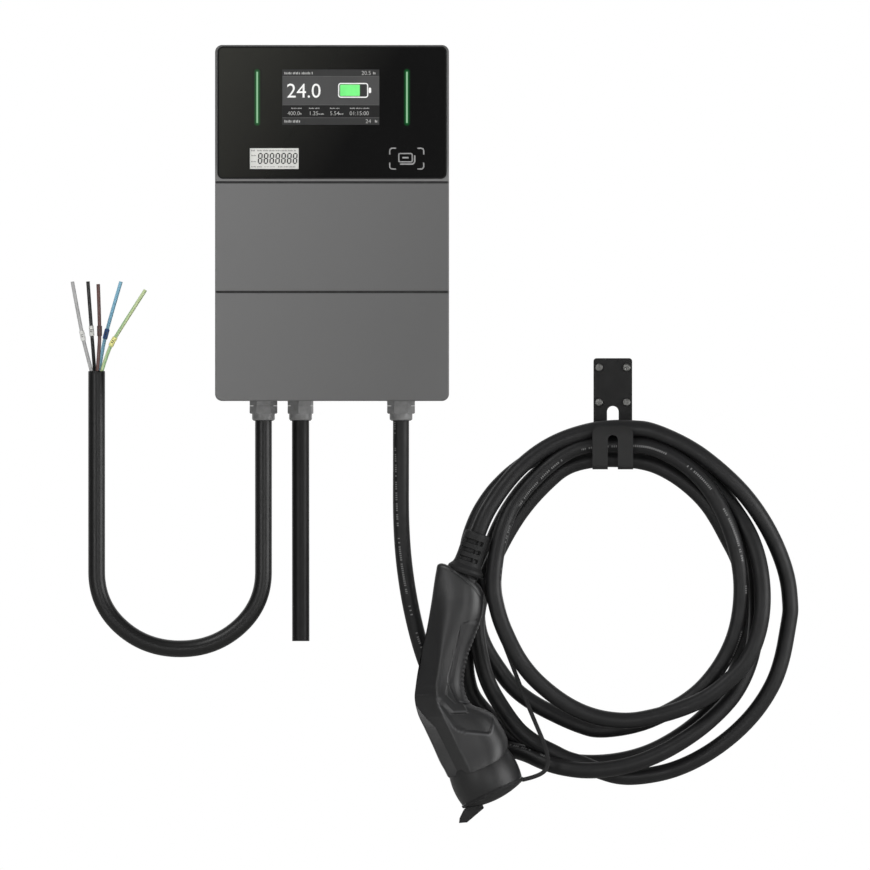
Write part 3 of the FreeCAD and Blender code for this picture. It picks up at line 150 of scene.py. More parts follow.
finishes = {
    # PC/ABS covers, satin moulded: mid grey with a soft broad highlight, and painted shade that makes them
    # lighter at the upper left and darker at the lower right
    "satin abs": {**cover, "colours": ("6B6B6B", "595959"), "paintedLightDrift": ((-100, 40), (110, -60))},
    # the same cover plastic in the frame of the glass, with painted shade: a little darker beside it than
    # under it
    "dark satin abs": {**cover, "colours": ("727272", "565656"), "paintedLightDrift": ((0, 42), (0, 60))},
    # the same plastic in the wall housing, coarser grain from the mould
    "moulded housing": {"colours": ("626262", "5C5C5C"), "patch": 40, "rough": (0.5, 0.6), "grain": 1.1,
                        "deep": 0.03, "ior": 1.55},
    # polished glass printed black from behind: dark with clear reflections, and a painted reflection that
    # makes it paler at the upper left, falling to near black further right and down
    "black glass": {"colours": ("363632", "0B0B0B"), "paintedLightDrift": ((-118, 176), (24, 92)), "patch": 70,
                    "rough": (0.05, 0.09), "grain": 3, "deep": 0.002, "ior": 1.5},
    # painted shade along the glass's edge, for the shadow gap round it: dull and deeper black
    "edge print": {"colours": ("050505", "040404"), "patch": 30, "rough": (0.5, 0.6), "grain": 1,
                   "deep": 0.003, "specular": 0.2},
    # glass fibre filled nylon: dull grey, slightly mottled by the fibres
    "glass filled nylon": {"colours": ("808080", "767676"), "patch": 5, "rough": (0.38, 0.5), "grain": 0.7,
                           "deep": 0.03, "ior": 1.53},
    # TPU jacket of the charging cable: nearly black, matt, faintly wrinkled
    "matt tpu": {"colours": ("171718", "121213"), "patch": 14, "rough": (0.42, 0.52), "grain": 2.2,
                 "deep": 0.06, "ior": 1.5, "specular": 0.36},
    # PVC jacket of the supply cable: black and smooth with a narrow highlight; grown dull on the second cable
    "smooth pvc": {**jacket, "rough": (0.36, 0.42), "specular": 0.4},
    "dull pvc": {**jacket, "rough": (0.4, 0.46), "specular": 0.24},
    # PA6 shell of the connector, spark eroded mould: black with a fine even grain; duller in the nose
    "eroded polyamide": {**polyamide, "colours": ("1B1B1C", "181819"), "rough": (0.39, 0.45),
                         "specular": 0.6},
    "plain polyamide": {**polyamide, "colours": ("171718", "141415"), "rough": (0.42, 0.48)},
    # TPE of the inlay: soft, dull, a little darker
    "soft tpe": {"colours": ("202021", "1C1C1D"), "patch": 16, "rough": (0.4, 0.48), "grain": 1, "deep": 0.03,
                 "ior": 1.48},
    # softer grade of it in boot, cap and strap: blacker and duller
    "dull tpe": {"colours": ("121213", "0E0E0F"), "patch": 12, "rough": (0.6, 0.72), "grain": 1, "deep": 0.04,
                 "ior": 1.48},
    # EPDM seals, dull black
    "epdm rubber": {"colours": ("1C1C1C", "161616"), "patch": 6, "rough": (0.6, 0.75), "grain": 0.8,
                    "deep": 0.04, "ior": 1.48},
    # powder coated steel: black with a fine orange peel, painted darker on the wall plate and paler on the
    # front tab below it, for how the light falls on them
    "powder coated steel": {"colours": ("0B0B0B", "1E1E1E"), "paintedLightDrift": ((0, -196), (0, -212)), "patch": 12,
                            "rough": (0.6, 0.68), "grain": 1.2, "deep": 0.05, "ior": 1.5, "specular": 0.38},
    # zinc plated steel: pale, slightly cloudy metal, and gone dull on the hook's screws
    "zinc plated steel": {"colours": ("C9C9C6", "AFAFAC"), "patch": 5, "rough": (0.28, 0.42), "grain": 0.7,
                          "deep": 0.02, "metallic": 1},
    "dull plated steel": {"colours": ("7C7C7A", "686866"), "patch": 3, "rough": (0.36, 0.5), "grain": 0.7,
                          "deep": 0.03, "metallic": 1},
    # silver plated copper of the contacts
    "silver plate": {"colours": ("E2E0DA", "CFCBC2"), "patch": 5, "rough": (0.2, 0.3), "grain": 1,
                     "deep": 0.01, "metallic": 1},
    # fibreglass board under green solder resist
    "solder resist": {"colours": ("1E5636", "17462B"), "patch": 9, "rough": (0.3, 0.42), "grain": 0.9,
                      "deep": 0.04, "ior": 1.5},
    # pale grey polycarbonate of the rail devices
    "device polycarbonate": {"colours": ("C6C6C1", "BABAB5"), "patch": 18, "rough": (0.45, 0.55),
                             "grain": 0.9, "deep": 0.03, "ior": 1.58},
    # lit display behind its cover glass, and its areas, each a plain grey
    "display cell": {**pane, "colours": ("3A3C3E", "363839"), "ior": 1.5},
    "header pane": {**pane, "colours": ("3E3E3E", "3B3B3B")},
    "main pane": {**pane, "colours": ("535353", "4E4E4E"), "patch": 45},
    "value pane": {**pane, "colours": ("2A2A2A", "272727")},
    # thin lighter lines between the display's areas
    "pane line": {**segment, "colours": ("6A6A6A", "646464"), "patch": 20, "grain": 0.6},
    # lit white marks on the display, and its smaller marks, less bright
    "white mark": {**mark, "colours": ("F0F0EE", "E6E6E4"), "glow": 0.15},
    "grey mark": {**mark, "colours": ("B8B8B6", "ACACAA"), "glow": 0.08},
    # lit green battery level
    "green level": {**pane, "colours": ("7FF58A", "74EC80"), "patch": 10, "rough": (0.1, 0.2), "glow": 0.1},
    # reflective liquid crystal: milky pale grey, with dark and paler segments
    "liquid crystal": {"colours": ("E0E0DC", "D8D8D4"), "patch": 12, "rough": (0.16, 0.24), "grain": 1.5,
                       "deep": 0.004, "ior": 1.5},
    "dark segment": {**segment, "colours": ("3A3A3A", "303030")},
    "grey segment": {**segment, "colours": ("7C7C7A", "727270")},
    # grey ceramic print of the card mark, on the glass
    "grey print": {**mark, "colours": ("9A9A9A", "8C8C8C")},
    # thin PVC insulation of the cores: bright and a little glossy
    "grey insulation": {**insulation, "colours": ("B9B9B9", "ABABAB")},
    "black insulation": {**insulation, "colours": ("202020", "191919"), "rough": (0.28, 0.38)},
    "brown insulation": {**insulation, "colours": ("664642", "583A36")},
    "blue insulation": {**insulation, "colours": ("90C6DE", "82BAD6")},
    # PVC marker sleeves, shiny
    "white sleeve": {**marker, "colours": ("EDEDEA", "DDDDD9")},
    "red sleeve": {**marker, "colours": ("4E2A26", "42221F")},
    "blue sleeve": {**marker, "colours": ("3A5E98", "30518A")},
    "yellow sleeve": {**marker, "colours": ("F6F4A2", "F0EE92")},
}
for name, look in finishes.items():
    surfaceFinish(name, look)
print("finishes ready:", len(materials))


# A mesh from corners and faces, turned outwards by the sign of its enclosed volume, finished and put on its
# body. uv lists for each face its corners' places on the map, and pick its finish's number.
def newPiece(name, corners, faces, finish, slot, body="charger_set", smooth=None, replaced=(), uv=None,
             pick=None):
    corners = np.asarray(corners, float)
    fans = [(f[0], f[k], f[k + 1]) for f in faces for k in range(1, len(f) - 1)]
    a, b, c = corners[np.array(fans).T]
    if np.einsum("ij,ij->", a, np.cross(b, c)) < 0:
        faces = [f[::-1] for f in faces]
        uv = uv and [face[::-1] for face in uv]
    mesh = bpy.data.meshes.new(name)
    mesh.from_pydata((corners * mm).tolist(), [], faces)
    for one in ([finish] if isinstance(finish, str) else finish):
        mesh.materials.append(materials[one])
    if pick:
        mesh.polygons.foreach_set("material_index", np.array(pick, np.int32))
    if uv:
        layer = mesh.uv_layers.new(name="along and round")
        layer.uv.foreach_set("vector", np.concatenate(uv).astype(np.float32).ravel())
    if smooth:
        mesh.shade_smooth()
        mesh.set_sharp_from_angle(angle=np.radians(smooth))
    piece = newObject(name, mesh)
    if body:
        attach(piece, body)
    if replaced:
        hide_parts(*replaced)
    return piece


# Closed skin on a grid: rows run along the piece, columns go once round it, and a fan closes each end
def skinFaces(points):
    rows, columns = points.shape[:2]
    index = np.arange(rows * columns).reshape(rows, columns)
    after = np.roll(index, -1, axis=1)
    quads = np.stack([index[:-1], after[:-1], after[1:], index[1:]], -1).reshape(-1, 4)
    first = np.stack([after[0], index[0], np.full(columns, rows * columns)], -1)
    last = np.stack([index[-1], after[-1], np.full(columns, rows * columns + 1)], -1)
    corners = np.concatenate([points.reshape(-1, 3), [points[0].mean(0), points[-1].mean(0)]])
    return corners, quads.tolist() + first.tolist() + last.tolist()


# Corners and faces that Blender makes of a curve, in millimetres
def curveMesh(curve):
    holder = bpy.data.objects.new("curve", curve)
    read = bpy.data.meshes.new_from_object(holder)
    corners = np.zeros(len(read.vertices) * 3)
    read.vertices.foreach_get("co", corners)
    faces = [tuple(face.vertices) for face in read.polygons]
    bpy.data.objects.remove(holder)
    bpy.data.meshes.remove(read)
    return corners.reshape(-1, 3) / mm, faces


# Centreline of a cord: the NURBS spline whose control points are the route's own, divided by length, with the
# points near its ends closer together
def centreline(route, step, ends=0.0):
    curve = bpy.data.curves.new("route", "CURVE")
    curve.dimensions, curve.resolution_u = "3D", 24
    spline = curve.splines.new("NURBS")
    spline.points.add(len(route) - 1)
    spline.points.foreach_set("co", np.c_[np.array(route) * mm, np.ones(len(route))].ravel())
    spline.order_u, spline.use_endpoint_u = 3, True
    line = curveMesh(curve)[0]
    gone = np.r_[0, np.cumsum(np.linalg.norm(np.diff(line, axis=0), axis=1))]
    at = np.linspace(0, gone[-1], int(gone[-1] / step) + 1)
    if ends:
        close = ends * np.array([0.12, 0.35, 0.65, 1.0])
        at = np.unique(np.r_[at[(at > ends) & (at < gone[-1] - ends)], 0, close, gone[-1] - close, gone[-1]])
    return np.stack([np.interp(at, gone, line[:, k]) for k in range(3)], -1), at


# Frame along a line: the way it runs, the front (-Y made square to it), and the side as their cross product
def frameAlong(line):
    way = np.gradient(line, axis=0)
    way /= np.linalg.norm(way, axis=1, keepdims=True)
    front = np.array([0.0, -1.0, 0.0]) - way * -way[:, 1:2]
    front /= np.linalg.norm(front, axis=1, keepdims=True)
    return way, front, np.cross(way, front)


# Round tube: a circle carried along the line in its frame, its radius drawn in by a quarter round at both
# ends. The map has metres along the tube and turns round it, with the front at a half turn.
def tube(name, cord):
    sides, ends = cord["sides"], cord["ends"]
    line, at = centreline(cord["route"], cord["step"], ends)
    way, front, side = frameAlong(line)
    near = np.minimum(np.minimum(at, at[-1] - at), ends)
    radius = cord["diameter"] / 2 - ends + np.sqrt(np.maximum(ends ** 2 - (ends - near) ** 2, 0))
    turn = tau * np.arange(sides) / sides + np.pi
    points = line[:, None] + radius[:, None, None] * (
        np.cos(turn)[None, :, None] * front[:, None] + np.sin(turn)[None, :, None] * side[:, None])
    corners, faces = skinFaces(points)
    grid = np.stack(np.meshgrid(at * mm, np.arange(sides + 1) / sides, indexing="ij"), -1)
    quads = np.stack([grid[:-1, :-1], grid[:-1, 1:], grid[1:, 1:], grid[1:, :-1]], 2).reshape(-1, 4, 2)
    caps = [np.repeat([[at[k] * mm, 0.02]], 3, 0) for k in [0] * sides + [-1] * sides]
    piece = newPiece(name, corners, faces, cord["finish"], cord["slot"], smooth=50, uv=[*quads, *caps],
                     replaced=cord["nodes"])
    return {**cord, "piece": piece, "path": (line * mm).tolist(), "length": at[-1] * mm}


# Flat pieces on the panel: outlines in the drawing plane with a front and a back, some with an inner
# outline of as many points. All go into one mesh, each with its own finish.
def panelPiece(name, shapes, finish, slot, **more):
    corners, faces, pick, base = [], [], [], 0
    for outline, inner, front, back, tone in shapes:
        loops = [np.asarray(outline, float)] + ([] if inner is None else [np.asarray(inner, float)])
        if sum(np.cross(loops[0], np.roll(loops[0], -1, 0))) < 0:
            loops = [one[::-1] for one in loops]
        n = len(loops[0])
        flat = np.concatenate(loops)
        corners += [np.c_[flat[:, 0], np.full(len(flat), y), flat[:, 1]] for y in (front, back)]
        k = np.arange(n)
        after, deep = (k + 1) % n, len(flat)
        new = np.stack([k, k + deep, after + deep, after], -1).tolist()
        if inner is None:
            new += [k.tolist(), (k[::-1] + deep).tolist()]
        else:
            new += np.stack([k + n, after + n, after + n + deep, k + n + deep], -1).tolist()
            new += np.stack([k, after, after + n, k + n], -1).tolist()
            new += np.stack([k + deep, k + n + deep, after + n + deep, after + deep], -1).tolist()
        faces += [[base + one for one in f] for f in new]
        pick += [tone] * len(new)
        base += 2 * len(flat)
    return newPiece(name, np.concatenate(corners), faces, finish, slot, pick=pick, **more)


# Rounded rectangle: four quarter circles about the corners of the rectangle that is smaller by the radius
def roundedBox(x, z, wide, high, radius, steps=5):
    angle = (np.arange(4)[:, None] * np.pi / 2 + np.linspace(0, np.pi / 2, steps + 1)).ravel()
    sx = np.repeat([1, -1, -1, 1], steps + 1) * (wide / 2 - radius)
    sz = np.repeat([1, 1, -1, -1], steps + 1) * (high / 2 - radius)
    return np.stack([x + sx + radius * np.cos(angle), z + sz + radius * np.sin(angle)], -1)


# Stroke: the path's points moved out to both sides along the mean of the neighbouring normals
def stroke(path, wide):
    path = np.asarray(path, float)
    way = np.diff(path, axis=0)
    way /= np.linalg.norm(way, axis=1, keepdims=True)
    normal = np.stack([-way[:, 1], way[:, 0]], -1)
    both = np.concatenate([normal[:1], (normal[:-1] + normal[1:]) / 2, normal[-1:]])
    both /= (both ** 2).sum(1, keepdims=True)
    return np.concatenate([path + both * wide / 2, (path - both * wide / 2)[::-1]])


# Seven bars of one figure, leaning a little: each a long hexagon between two corners of the figure eight
def sevenBars(x, z, wide, high, bar, lean=0.06):
    left, right, low, top = x - wide / 2, x + wide / 2, z - high / 2, z + high / 2
    ends = (((left, top), (right, top)), ((right, top), (right, z)), ((right, z), (right, low)),
            ((left, low), (right, low)), ((left, z), (left, low)), ((left, top), (left, z)),
            ((left, z), (right, z)))
    bars = []
    for a, b in np.array(ends):
        way = (b - a) / np.linalg.norm(b - a)
        out = np.array([-way[1], way[0]]) * bar / 2
        a, b = a + way * bar * 0.15, b - way * bar * 0.15
        tip = way * bar / 2
        shape = np.array([a, a + tip + out, b - tip + out, b, b - tip - out, a + tip - out])
        shape[:, 0] += lean * (shape[:, 1] - z)
        bars.append(shape)
    return bars


# Plain numerals: Blender's own letterform turned to a mesh, then stood up on the panel
def numerals(name, entries, weight, front, back, finish, slot):
    corners, faces, base = [], [], 0
    for words, x, z, high, align in entries:
        curve = bpy.data.curves.new("numeral", "FONT")
        curve.body, curve.align_x, curve.resolution_u = words, align, 4
        curve.size = high * mm * 1.42                  # a letterform's size is more than its figures' height
        curve.offset = high * mm * weight
        curve.extrude = (back - front) / 2 * mm
        read, sides = curveMesh(curve)
        corners.append(np.stack([x + read[:, 0], (front + back) / 2 - read[:, 2], z + read[:, 1]], -1))
        faces += [[base + k for k in side] for side in sides]
        base += len(read)
    return newPiece(name, np.concatenate(corners), faces, finish, slot)


# Charging cable: from its gland down to the connector's height, about five turns on the hook, up to the grip
chargingCable = {
    "diameter": 16, "exit": (67.8, -39, -194.4), "finish": "printed tpu", "slot": "charging_jacket",
    "nodes": ("charging_cable_lead", "charging_cable_coil", "charging_cable_end"),
    "step": 3.2, "sides": 26, "ends": 1,
    "route": (
        (67.8, -39, -166), (67.8, -39, -231), (67.6, -36.2, -303), (73.6, -30.6, -360), (85.6, -23.6, -414),
        (100, -18, -452), (121, -14.6, -484), (149.9, -14, -505.6), (170, -20, -516.5), (189.7, -28, -521),
        (207.4, -38, -529.8), (226.1, -46, -535.7), (253.6, -50, -539.1), (288.7, -50, -534.8),
        (323.4, -48, -522), (355.8, -44, -502.3), (380, -38, -481.7), (398, -34, -461), (411, -32, -433),
        (417, -30, -402), (418, -30, -370), (414.5, -27.5, -338), (405, -24, -305), (397, -20, -289),
        (388, -17, -273), (363, -15, -246), (333, -15, -227), (303, -17, -218.5), (276, -20, -217),
        (246, -19, -221), (220, -18, -233), (198, -17.5, -250), (180, -17, -271), (165, -17, -296),
        (154, -17, -324), (146, -17, -352), (142, -17.5, -378), (143.5, -17.5, -400.1),
        (150.4, -17.5, -417.8), (160.2, -17.5, -433.5), (176.4, -17.5, -456.1), (196.6, -17.5, -471.8),
        (226.1, -17.5, -486.6), (243.8, -17.5, -494), (261.5, -18, -499.4), (300, -22, -494),
        (330, -30, -481), (355, -36, -466), (373.5, -38, -447.3), (388.3, -40, -424.7),
        (398.1, -43, -400.1), (402.7, -46, -370.6), (402, -48, -341.1), (394.2, -50, -306.7),
        (381.4, -51, -277.2), (364.7, -51, -252.6), (342.1, -50, -233), (315.5, -50, -220.2),
        (299.8, -50, -217.5), (276, -50, -217.6), (258.5, -51, -217.2), (238, -52, -221),
        (215, -53, -235.5), (192.7, -55, -257.5), (184.8, -57, -267.4), (175, -60, -281.1),
        (166.8, -64, -301.8), (161.9, -67, -322.4), (159.2, -69, -342.8), (158.3, -70, -355.8),
        (160, -70, -370.6), (167.1, -70, -397.1), (187.9, -69, -438.2), (221, -64, -468.4),
        (253.6, -58, -485.3), (288.7, -55, -490.4), (316.5, -54, -485.6), (345, -54, -477.3),
        (370.2, -54, -465.9), (391.2, -54, -449.2), (409.5, -54, -429.6), (420.7, -54, -400.1),
        (424.3, -54, -369.2), (421, -50, -335), (411, -44, -305), (394.2, -36, -279.2),
        (372.6, -32, -249.7), (348, -31, -229), (320, -31, -213), (298, -30, -205), (276, -30, -202.5),
        (248, -31, -205.5), (220, -33, -217), (182, -36, -241), (163.2, -36, -258.5), (152.4, -36, -272.3),
        (143.5, -36, -287), (135.7, -35, -306.7), (132.7, -34.5, -321.4), (130.6, -34, -346),
        (129.8, -34, -370.6), (129.5, -30, -392), (129.5, -28, -414), (131.2, -26, -430),
        (132.6, -22, -447), (137.4, -17.5, -465), (152, -14.5, -482), (169, -12.5, -499), (190, -12, -514),
        (215, -12, -526.5), (245, -12.5, -531), (277, -12.5, -530), (310, -13, -522), (340, -14, -506),
        (366, -15, -486), (386, -16, -462), (400, -15, -436), (408, -15, -405), (409, -15, -372),
        (402, -16, -338), (397, -20, -325), (388.3, -29, -309), (380, -33, -292.9), (368.6, -35, -275.2),
        (351.9, -36, -258.5), (332.3, -36, -244.5), (309.6, -36, -234.5), (278.2, -36, -231.6),
        (250, -36, -233), (228.1, -36, -240), (212, -36, -254), (195.5, -36, -271), (181, -36.5, -290),
        (167.5, -37, -313), (155.5, -38, -338), (146.6, -39, -362), (141.9, -39, -388),
        (142.2, -38.5, -404), (144.9, -38, -421), (149.4, -36, -441), (156, -34, -458.1),
        (164.8, -34, -472.8), (174.6, -34, -487.6), (185.8, -34, -501.3), (203.5, -34, -513.6),
        (217.2, -34, -520), (230, -34, -526.9), (243.8, -34, -530.5), (262, -33, -538.5),
        (283.1, -32, -545), (307.7, -31, -544), (337.2, -30, -537.7), (368, -29, -523),
        (399.1, -28, -499.8), (423.7, -28, -471.8), (441.1, -28, -438), (450.2, -26, -386.3),
        (450.8, -26, -377.5), (448.3, -27, -349.6), (439, -28, -321.4), (424.7, -36, -292.9),
        (405, -42, -265.4), (380, -46, -241.4), (351.9, -48, -220.2), (313.6, -51, -203),
        (295, -52.5, -201.6), (278.2, -53, -201.2), (256, -53.4, -203.2), (227, -54.8, -211.8),
        (203, -57.5, -224.8), (181, -61.5, -243.5), (162.5, -66.3, -267), (147.9, -70, -291.3),
        (136.2, -70, -326.4), (124.4, -70, -361.5),
    ),
}

# Supply cable: down from its gland, round below the charger and up to its cut end
supplyCable = {
    "diameter": 16.6, "exit": (-67.4, -39, -194.4), "finish": "smooth pvc", "slot": "supply_jacket",
    "nodes": ("supply_cable",), "step": 3, "sides": 32, "ends": 1,
    "route": ((-67.4, -39, -166), (-67.4, -39, -310.6), (-67.4, -39, -375.3), (-115.4, -37.5, -418.6),
              (-183.4, -40, -418.6), (-231.4, -39, -375.3), (-231.4, -39, -310.6), (-231.4, -39, -145.4)),
}
# Second cable: a short straight stub
secondCable = {
    "diameter": 17, "exit": (-31, -39, -194.4), "finish": "dull pvc", "slot": "supply_jacket",
    "nodes": ("second_cable",), "step": 3, "sides": 32, "ends": 0.6,
    "route": ((-31, -39, -166), (-30.7, -39, -411)),
}
# The supply cable's five cores, with the height of each one's marker sleeve and its finish's number
core = {"diameter": 3.6, "step": 2, "sides": 16, "ends": 0.3}
cores = {
    "coreGrey": {"finish": "grey insulation", "slot": "core_grey", "sleeve": -110.8, "tone": 0,
                 "route": ((-236.4, -41, -146), (-240.6, -42, -130), (-246.2, -44, -108),
                           (-255.3, -45, -57.6))},
    "coreBlack": {"finish": "black insulation", "slot": "core_black", "sleeve": -106, "tone": 0,
                  "route": ((-233.4, -34.6, -146), (-234.6, -33.6, -128), (-236.6, -32.6, -104),
                            (-240, -33, -57.4))},
    "coreBrown": {"finish": "brown insulation", "slot": "core_brown", "sleeve": -106, "tone": 1,
                  "route": ((-230.6, -43.6, -146), (-229.4, -45, -128), (-228, -46.6, -108),
                            (-229.9, -47, -60))},
    "coreBlue": {"finish": "blue insulation", "slot": "core_blue", "sleeve": -109, "tone": 2,
                 "route": ((-229, -34.6, -146), (-226.2, -33.4, -127), (-221.2, -31.6, -104),
                           (-207.5, -30, -57.6))},
    "coreEarth": {"finish": "earth insulation", "slot": "core_earth", "sleeve": -116.4, "tone": 3,
                  "route": ((-226.4, -41, -146), (-220, -43, -124), (-208.8, -45, -105.4),
                            (-183.4, -47, -65.8))},
}
# Strap that keeps the dust cap on the connector; its diameter is its width
capTether = {
    "diameter": 4.2, "thick": 2.2, "step": 2.5, "sides": 20, "square": 0.55,
    "route": ((147.2, -65, -349.5), (151.4, -62, -363.2), (158.2, -58.6, -384), (166.6, -57, -407),
              (176.6, -57.2, -433), (188.2, -59.6, -463.6), (200.6, -62, -493), (209.6, -64, -514),
              (213.4, -66, -531.5), (206.6, -68.6, -543.2), (186.8, -70, -547.4)),
}


# Charging cable's jacket with a line of faint ticks. The line winds slowly round the cable: its turn falls
# evenly with the length. A tick shows where the length, counted in steps, lies in the first part of a step
# whose random number, and that of its group, is large enough, and only within the two printed spans.
def printedJacket(name, look, ticks):
    tree = surfaceFinish(name, look)
    place = addNode(tree, "SeparateXYZ", [addNode(tree, "UVMap", uv_map="along and round")])
    along, turn = place.outputs["X"], place.outputs["Y"]
    start = ticks["turn"] + ticks["wind"] * ticks["at"]
    middle = addNode(tree, "Math", [along, -ticks["wind"], start], operation="MULTIPLY_ADD")
    aside = addNode(tree, "Math", [turn, middle], operation="SUBTRACT")
    wrapped = addNode(tree, "Math", [aside, 0.5, -0.5], operation="WRAP")
    off = addNode(tree, "Math", [wrapped], operation="ABSOLUTE")
    tests = [addNode(tree, "Math", [off, ticks["band"]], operation="LESS_THAN")]
    for size, least in (ticks["group"], ticks["step"]):
        steps = addNode(tree, "Math", [along, 1 / (size * mm)], operation="MULTIPLY")
        whole = addNode(tree, "Math", [steps], operation="FLOOR")
        chance = addNode(tree, "TexWhiteNoise", {"W": whole}, noise_dimensions="1D")
        tests.append(addNode(tree, "Math", [chance, least], operation="GREATER_THAN"))
    part = addNode(tree, "Math", [steps], operation="FRACT")          # of the single steps, counted last
    tests.append(addNode(tree, "Math", [part, ticks["mark"]], operation="LESS_THAN"))
    spans = [addNode(tree, "Math", [along, centre, reach], operation="COMPARE")
             for centre, reach in ticks["spans"]]
    tests.append(addNode(tree, "Math", spans, operation="MAXIMUM"))
    shown = ticks["strength"]
    for test in tests:
        shown = addNode(tree, "Math", [test, shown], operation="MULTIPLY")
    paintOver(tree, shown, ticks["colour"])


# Earth core: yellow insulation with green stripes that follow its length, by the sine of the turn
def stripedInsulation(name, look, stripe):
    tree = surfaceFinish(name, look)
    place = addNode(tree, "SeparateXYZ", [addNode(tree, "UVMap", uv_map="along and round")])
    wound = addNode(tree, "Math", [place.outputs["X"], tau / (stripe["pitch"] * mm)], operation="MULTIPLY")
    both = addNode(tree, "Math", [place.outputs["Y"], 2 * tau, wound], operation="MULTIPLY_ADD")
    wave = addNode(tree, "Math", [both], operation="SINE")
    shown = addNode(tree, "Math", [wave, stripe["level"]], operation="GREATER_THAN")
    paintOver(tree, shown, stripe["colour"])


printedJacket("printed tpu", finishes["matt tpu"], {
    "turn": 0.62, "at": 1.58, "wind": 0.66, "band": 0.021, "step": (2.1, 0.2), "group": (11, 0.22),
    "mark": 0.6, "spans": ((0.2, 0.25), (1.86, 0.46)), "colour": "A0A0A0", "strength": 0.42})
stripedInsulation("earth insulation", {**insulation, "colours": ("D4E4B0", "C8DAA0")},
                  {"pitch": 110, "level": 0.3, "colour": "A6CA96"})

chargingCable = tube("chargingCable", chargingCable)
supplyCable = tube("supplyCable", supplyCable)
secondCable = tube("secondCable", secondCable)
cores = {name: tube(name, {**core, **own, "nodes": (own["slot"],)}) for name, own in cores.items()}
print("cords ready: charging cable", round(chargingCable["length"], 3), "m, supply cable",
      round(supplyCable["length"], 3), "m")

# Marker sleeves: a short wall of revolution about each core's own line, with two dark bars on its front
sleeve = {"inner": 1.84, "outer": 2.5, "long": 10, "edge": 0.25, "step": 0.5, "sides": 24,
          "bars": (-1.3, -0.5, 0.5, 1.3), "barColumns": (22, 23, 0)}
corners, faces, pick, base = [], [], [], 0
for own in cores.values():
    line, at = centreline(own["route"], sleeve["step"])
    middle = at[np.argmin(np.abs(line[:, 2] - own["sleeve"]))]
    low, high, edge = middle - sleeve["long"] / 2, middle + sleeve["long"] / 2, sleeve["edge"]
    bars = middle + np.array(sleeve["bars"])
    spots = np.array([low, low, low + edge, *bars, high - edge, high, high, middle])
    inner, outer = sleeve["inner"], sleeve["outer"]
    radius = np.array([inner, outer - edge, *[outer] * 6, outer - edge, inner, inner])
    centre = np.stack([np.interp(spots, at, line[:, k]) for k in range(3)], -1)
    way = (centre[9] - centre[0]) / np.linalg.norm(centre[9] - centre[0])
    side = np.cross(way, [0, -1, 0])
    side /= np.linalg.norm(side)
    front = np.cross(side, way)
    turn = tau * np.arange(sleeve["sides"])[:, None] / sleeve["sides"]
    points = centre[:, None] + radius[:, None, None] * (np.cos(turn) * front + np.sin(turn) * side)
    index = base + np.arange(points[..., 0].size).reshape(points.shape[:2])
    down, right = np.roll(index, -1, 0), np.roll(index, -1, 1)
    faces += np.stack([index, right, np.roll(down, -1, 1), down], -1).reshape(-1, 4).tolist()
    tones = np.full(index.shape, own["tone"])
    tones[3:6:2, sleeve["barColumns"]] = 4
    pick += tones.ravel().tolist()
    corners.append(points.reshape(-1, 3))
    base += index.size
newPiece("coreSleeves", np.concatenate(corners), faces,
         ["white sleeve", "red sleeve", "blue sleeve", "yellow sleeve", "dark segment"], "core_sleeves",
         smooth=40, pick=pick, replaced=("core_sleeves",))

# The strap: a rounded rectangle carried along its line, its broad side to the front
line, at = centreline(capTether["route"], capTether["step"])
way, front, side = frameAlong(line)
turn = tau * (np.arange(capTether["sides"]) + 0.5) / capTether["sides"]
thick, wide = (size / 2 * np.sign(wave) * np.abs(wave) ** capTether["square"] for size, wave in (
    (capTether["thick"], np.cos(turn)), (capTether["diameter"], np.sin(turn))))
points = line[:, None] + thick[None, :, None] * front[:, None] + wide[None, :, None] * side[:, None]
tether = newPiece("capTether", *skinFaces(points), "dull tpe", "black_rubber", body=None, smooth=40,
                  replaced=("cap_tether",))
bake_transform(tether)


# Smooth curve through given rows: cubic pieces whose slope at a row is half the step between its neighbours
def through(rows, at):
    rows = np.asarray(rows, float)
    k = np.clip(at.astype(int), 0, len(rows) - 2)
    f = (at - k)[:, None]
    slope = np.gradient(rows, axis=0)
    return ((2 * f ** 3 - 3 * f ** 2 + 1) * rows[k] + (f ** 3 - 2 * f ** 2 + f) * slope[k]
            + (3 * f ** 2 - 2 * f ** 3) * rows[k + 1] + (f ** 3 - f ** 2) * slope[k + 1])


# Distance to a path in the drawing plane: the least of the distances to the nearest point of each line
def awayFrom(x, z, path):
    path = np.asarray(path, float)
    a, run = path[:-1], np.diff(path, axis=0)
    place = np.stack([x, z], -1)[..., None, :] - a
    share = np.clip((place * run).sum(-1) / (run ** 2).sum(-1), 0, 1)
    return np.linalg.norm(place - share[..., None] * run, axis=-1).min(-1)


# Inside of an outline, by the count of its edges that a level ray crosses
def within(x, z, outline):
    inside = np.zeros(x.shape, bool)
    for (x0, z0), (x1, z1) in zip(outline, outline[1:] + outline[:1]):
        crosses = (z0 > z) != (z1 > z)
        inside ^= crosses & (x < x0 + (z - z0) * (x1 - x0) / ((z1 - z0) or 1e-9))
    return inside


# Ramp from 0 to 1 between two values, level at both
def ramp(value, low, high):
    share = np.clip((value - low) / (high - low), 0, 1)
    return share * share * (3 - 2 * share)


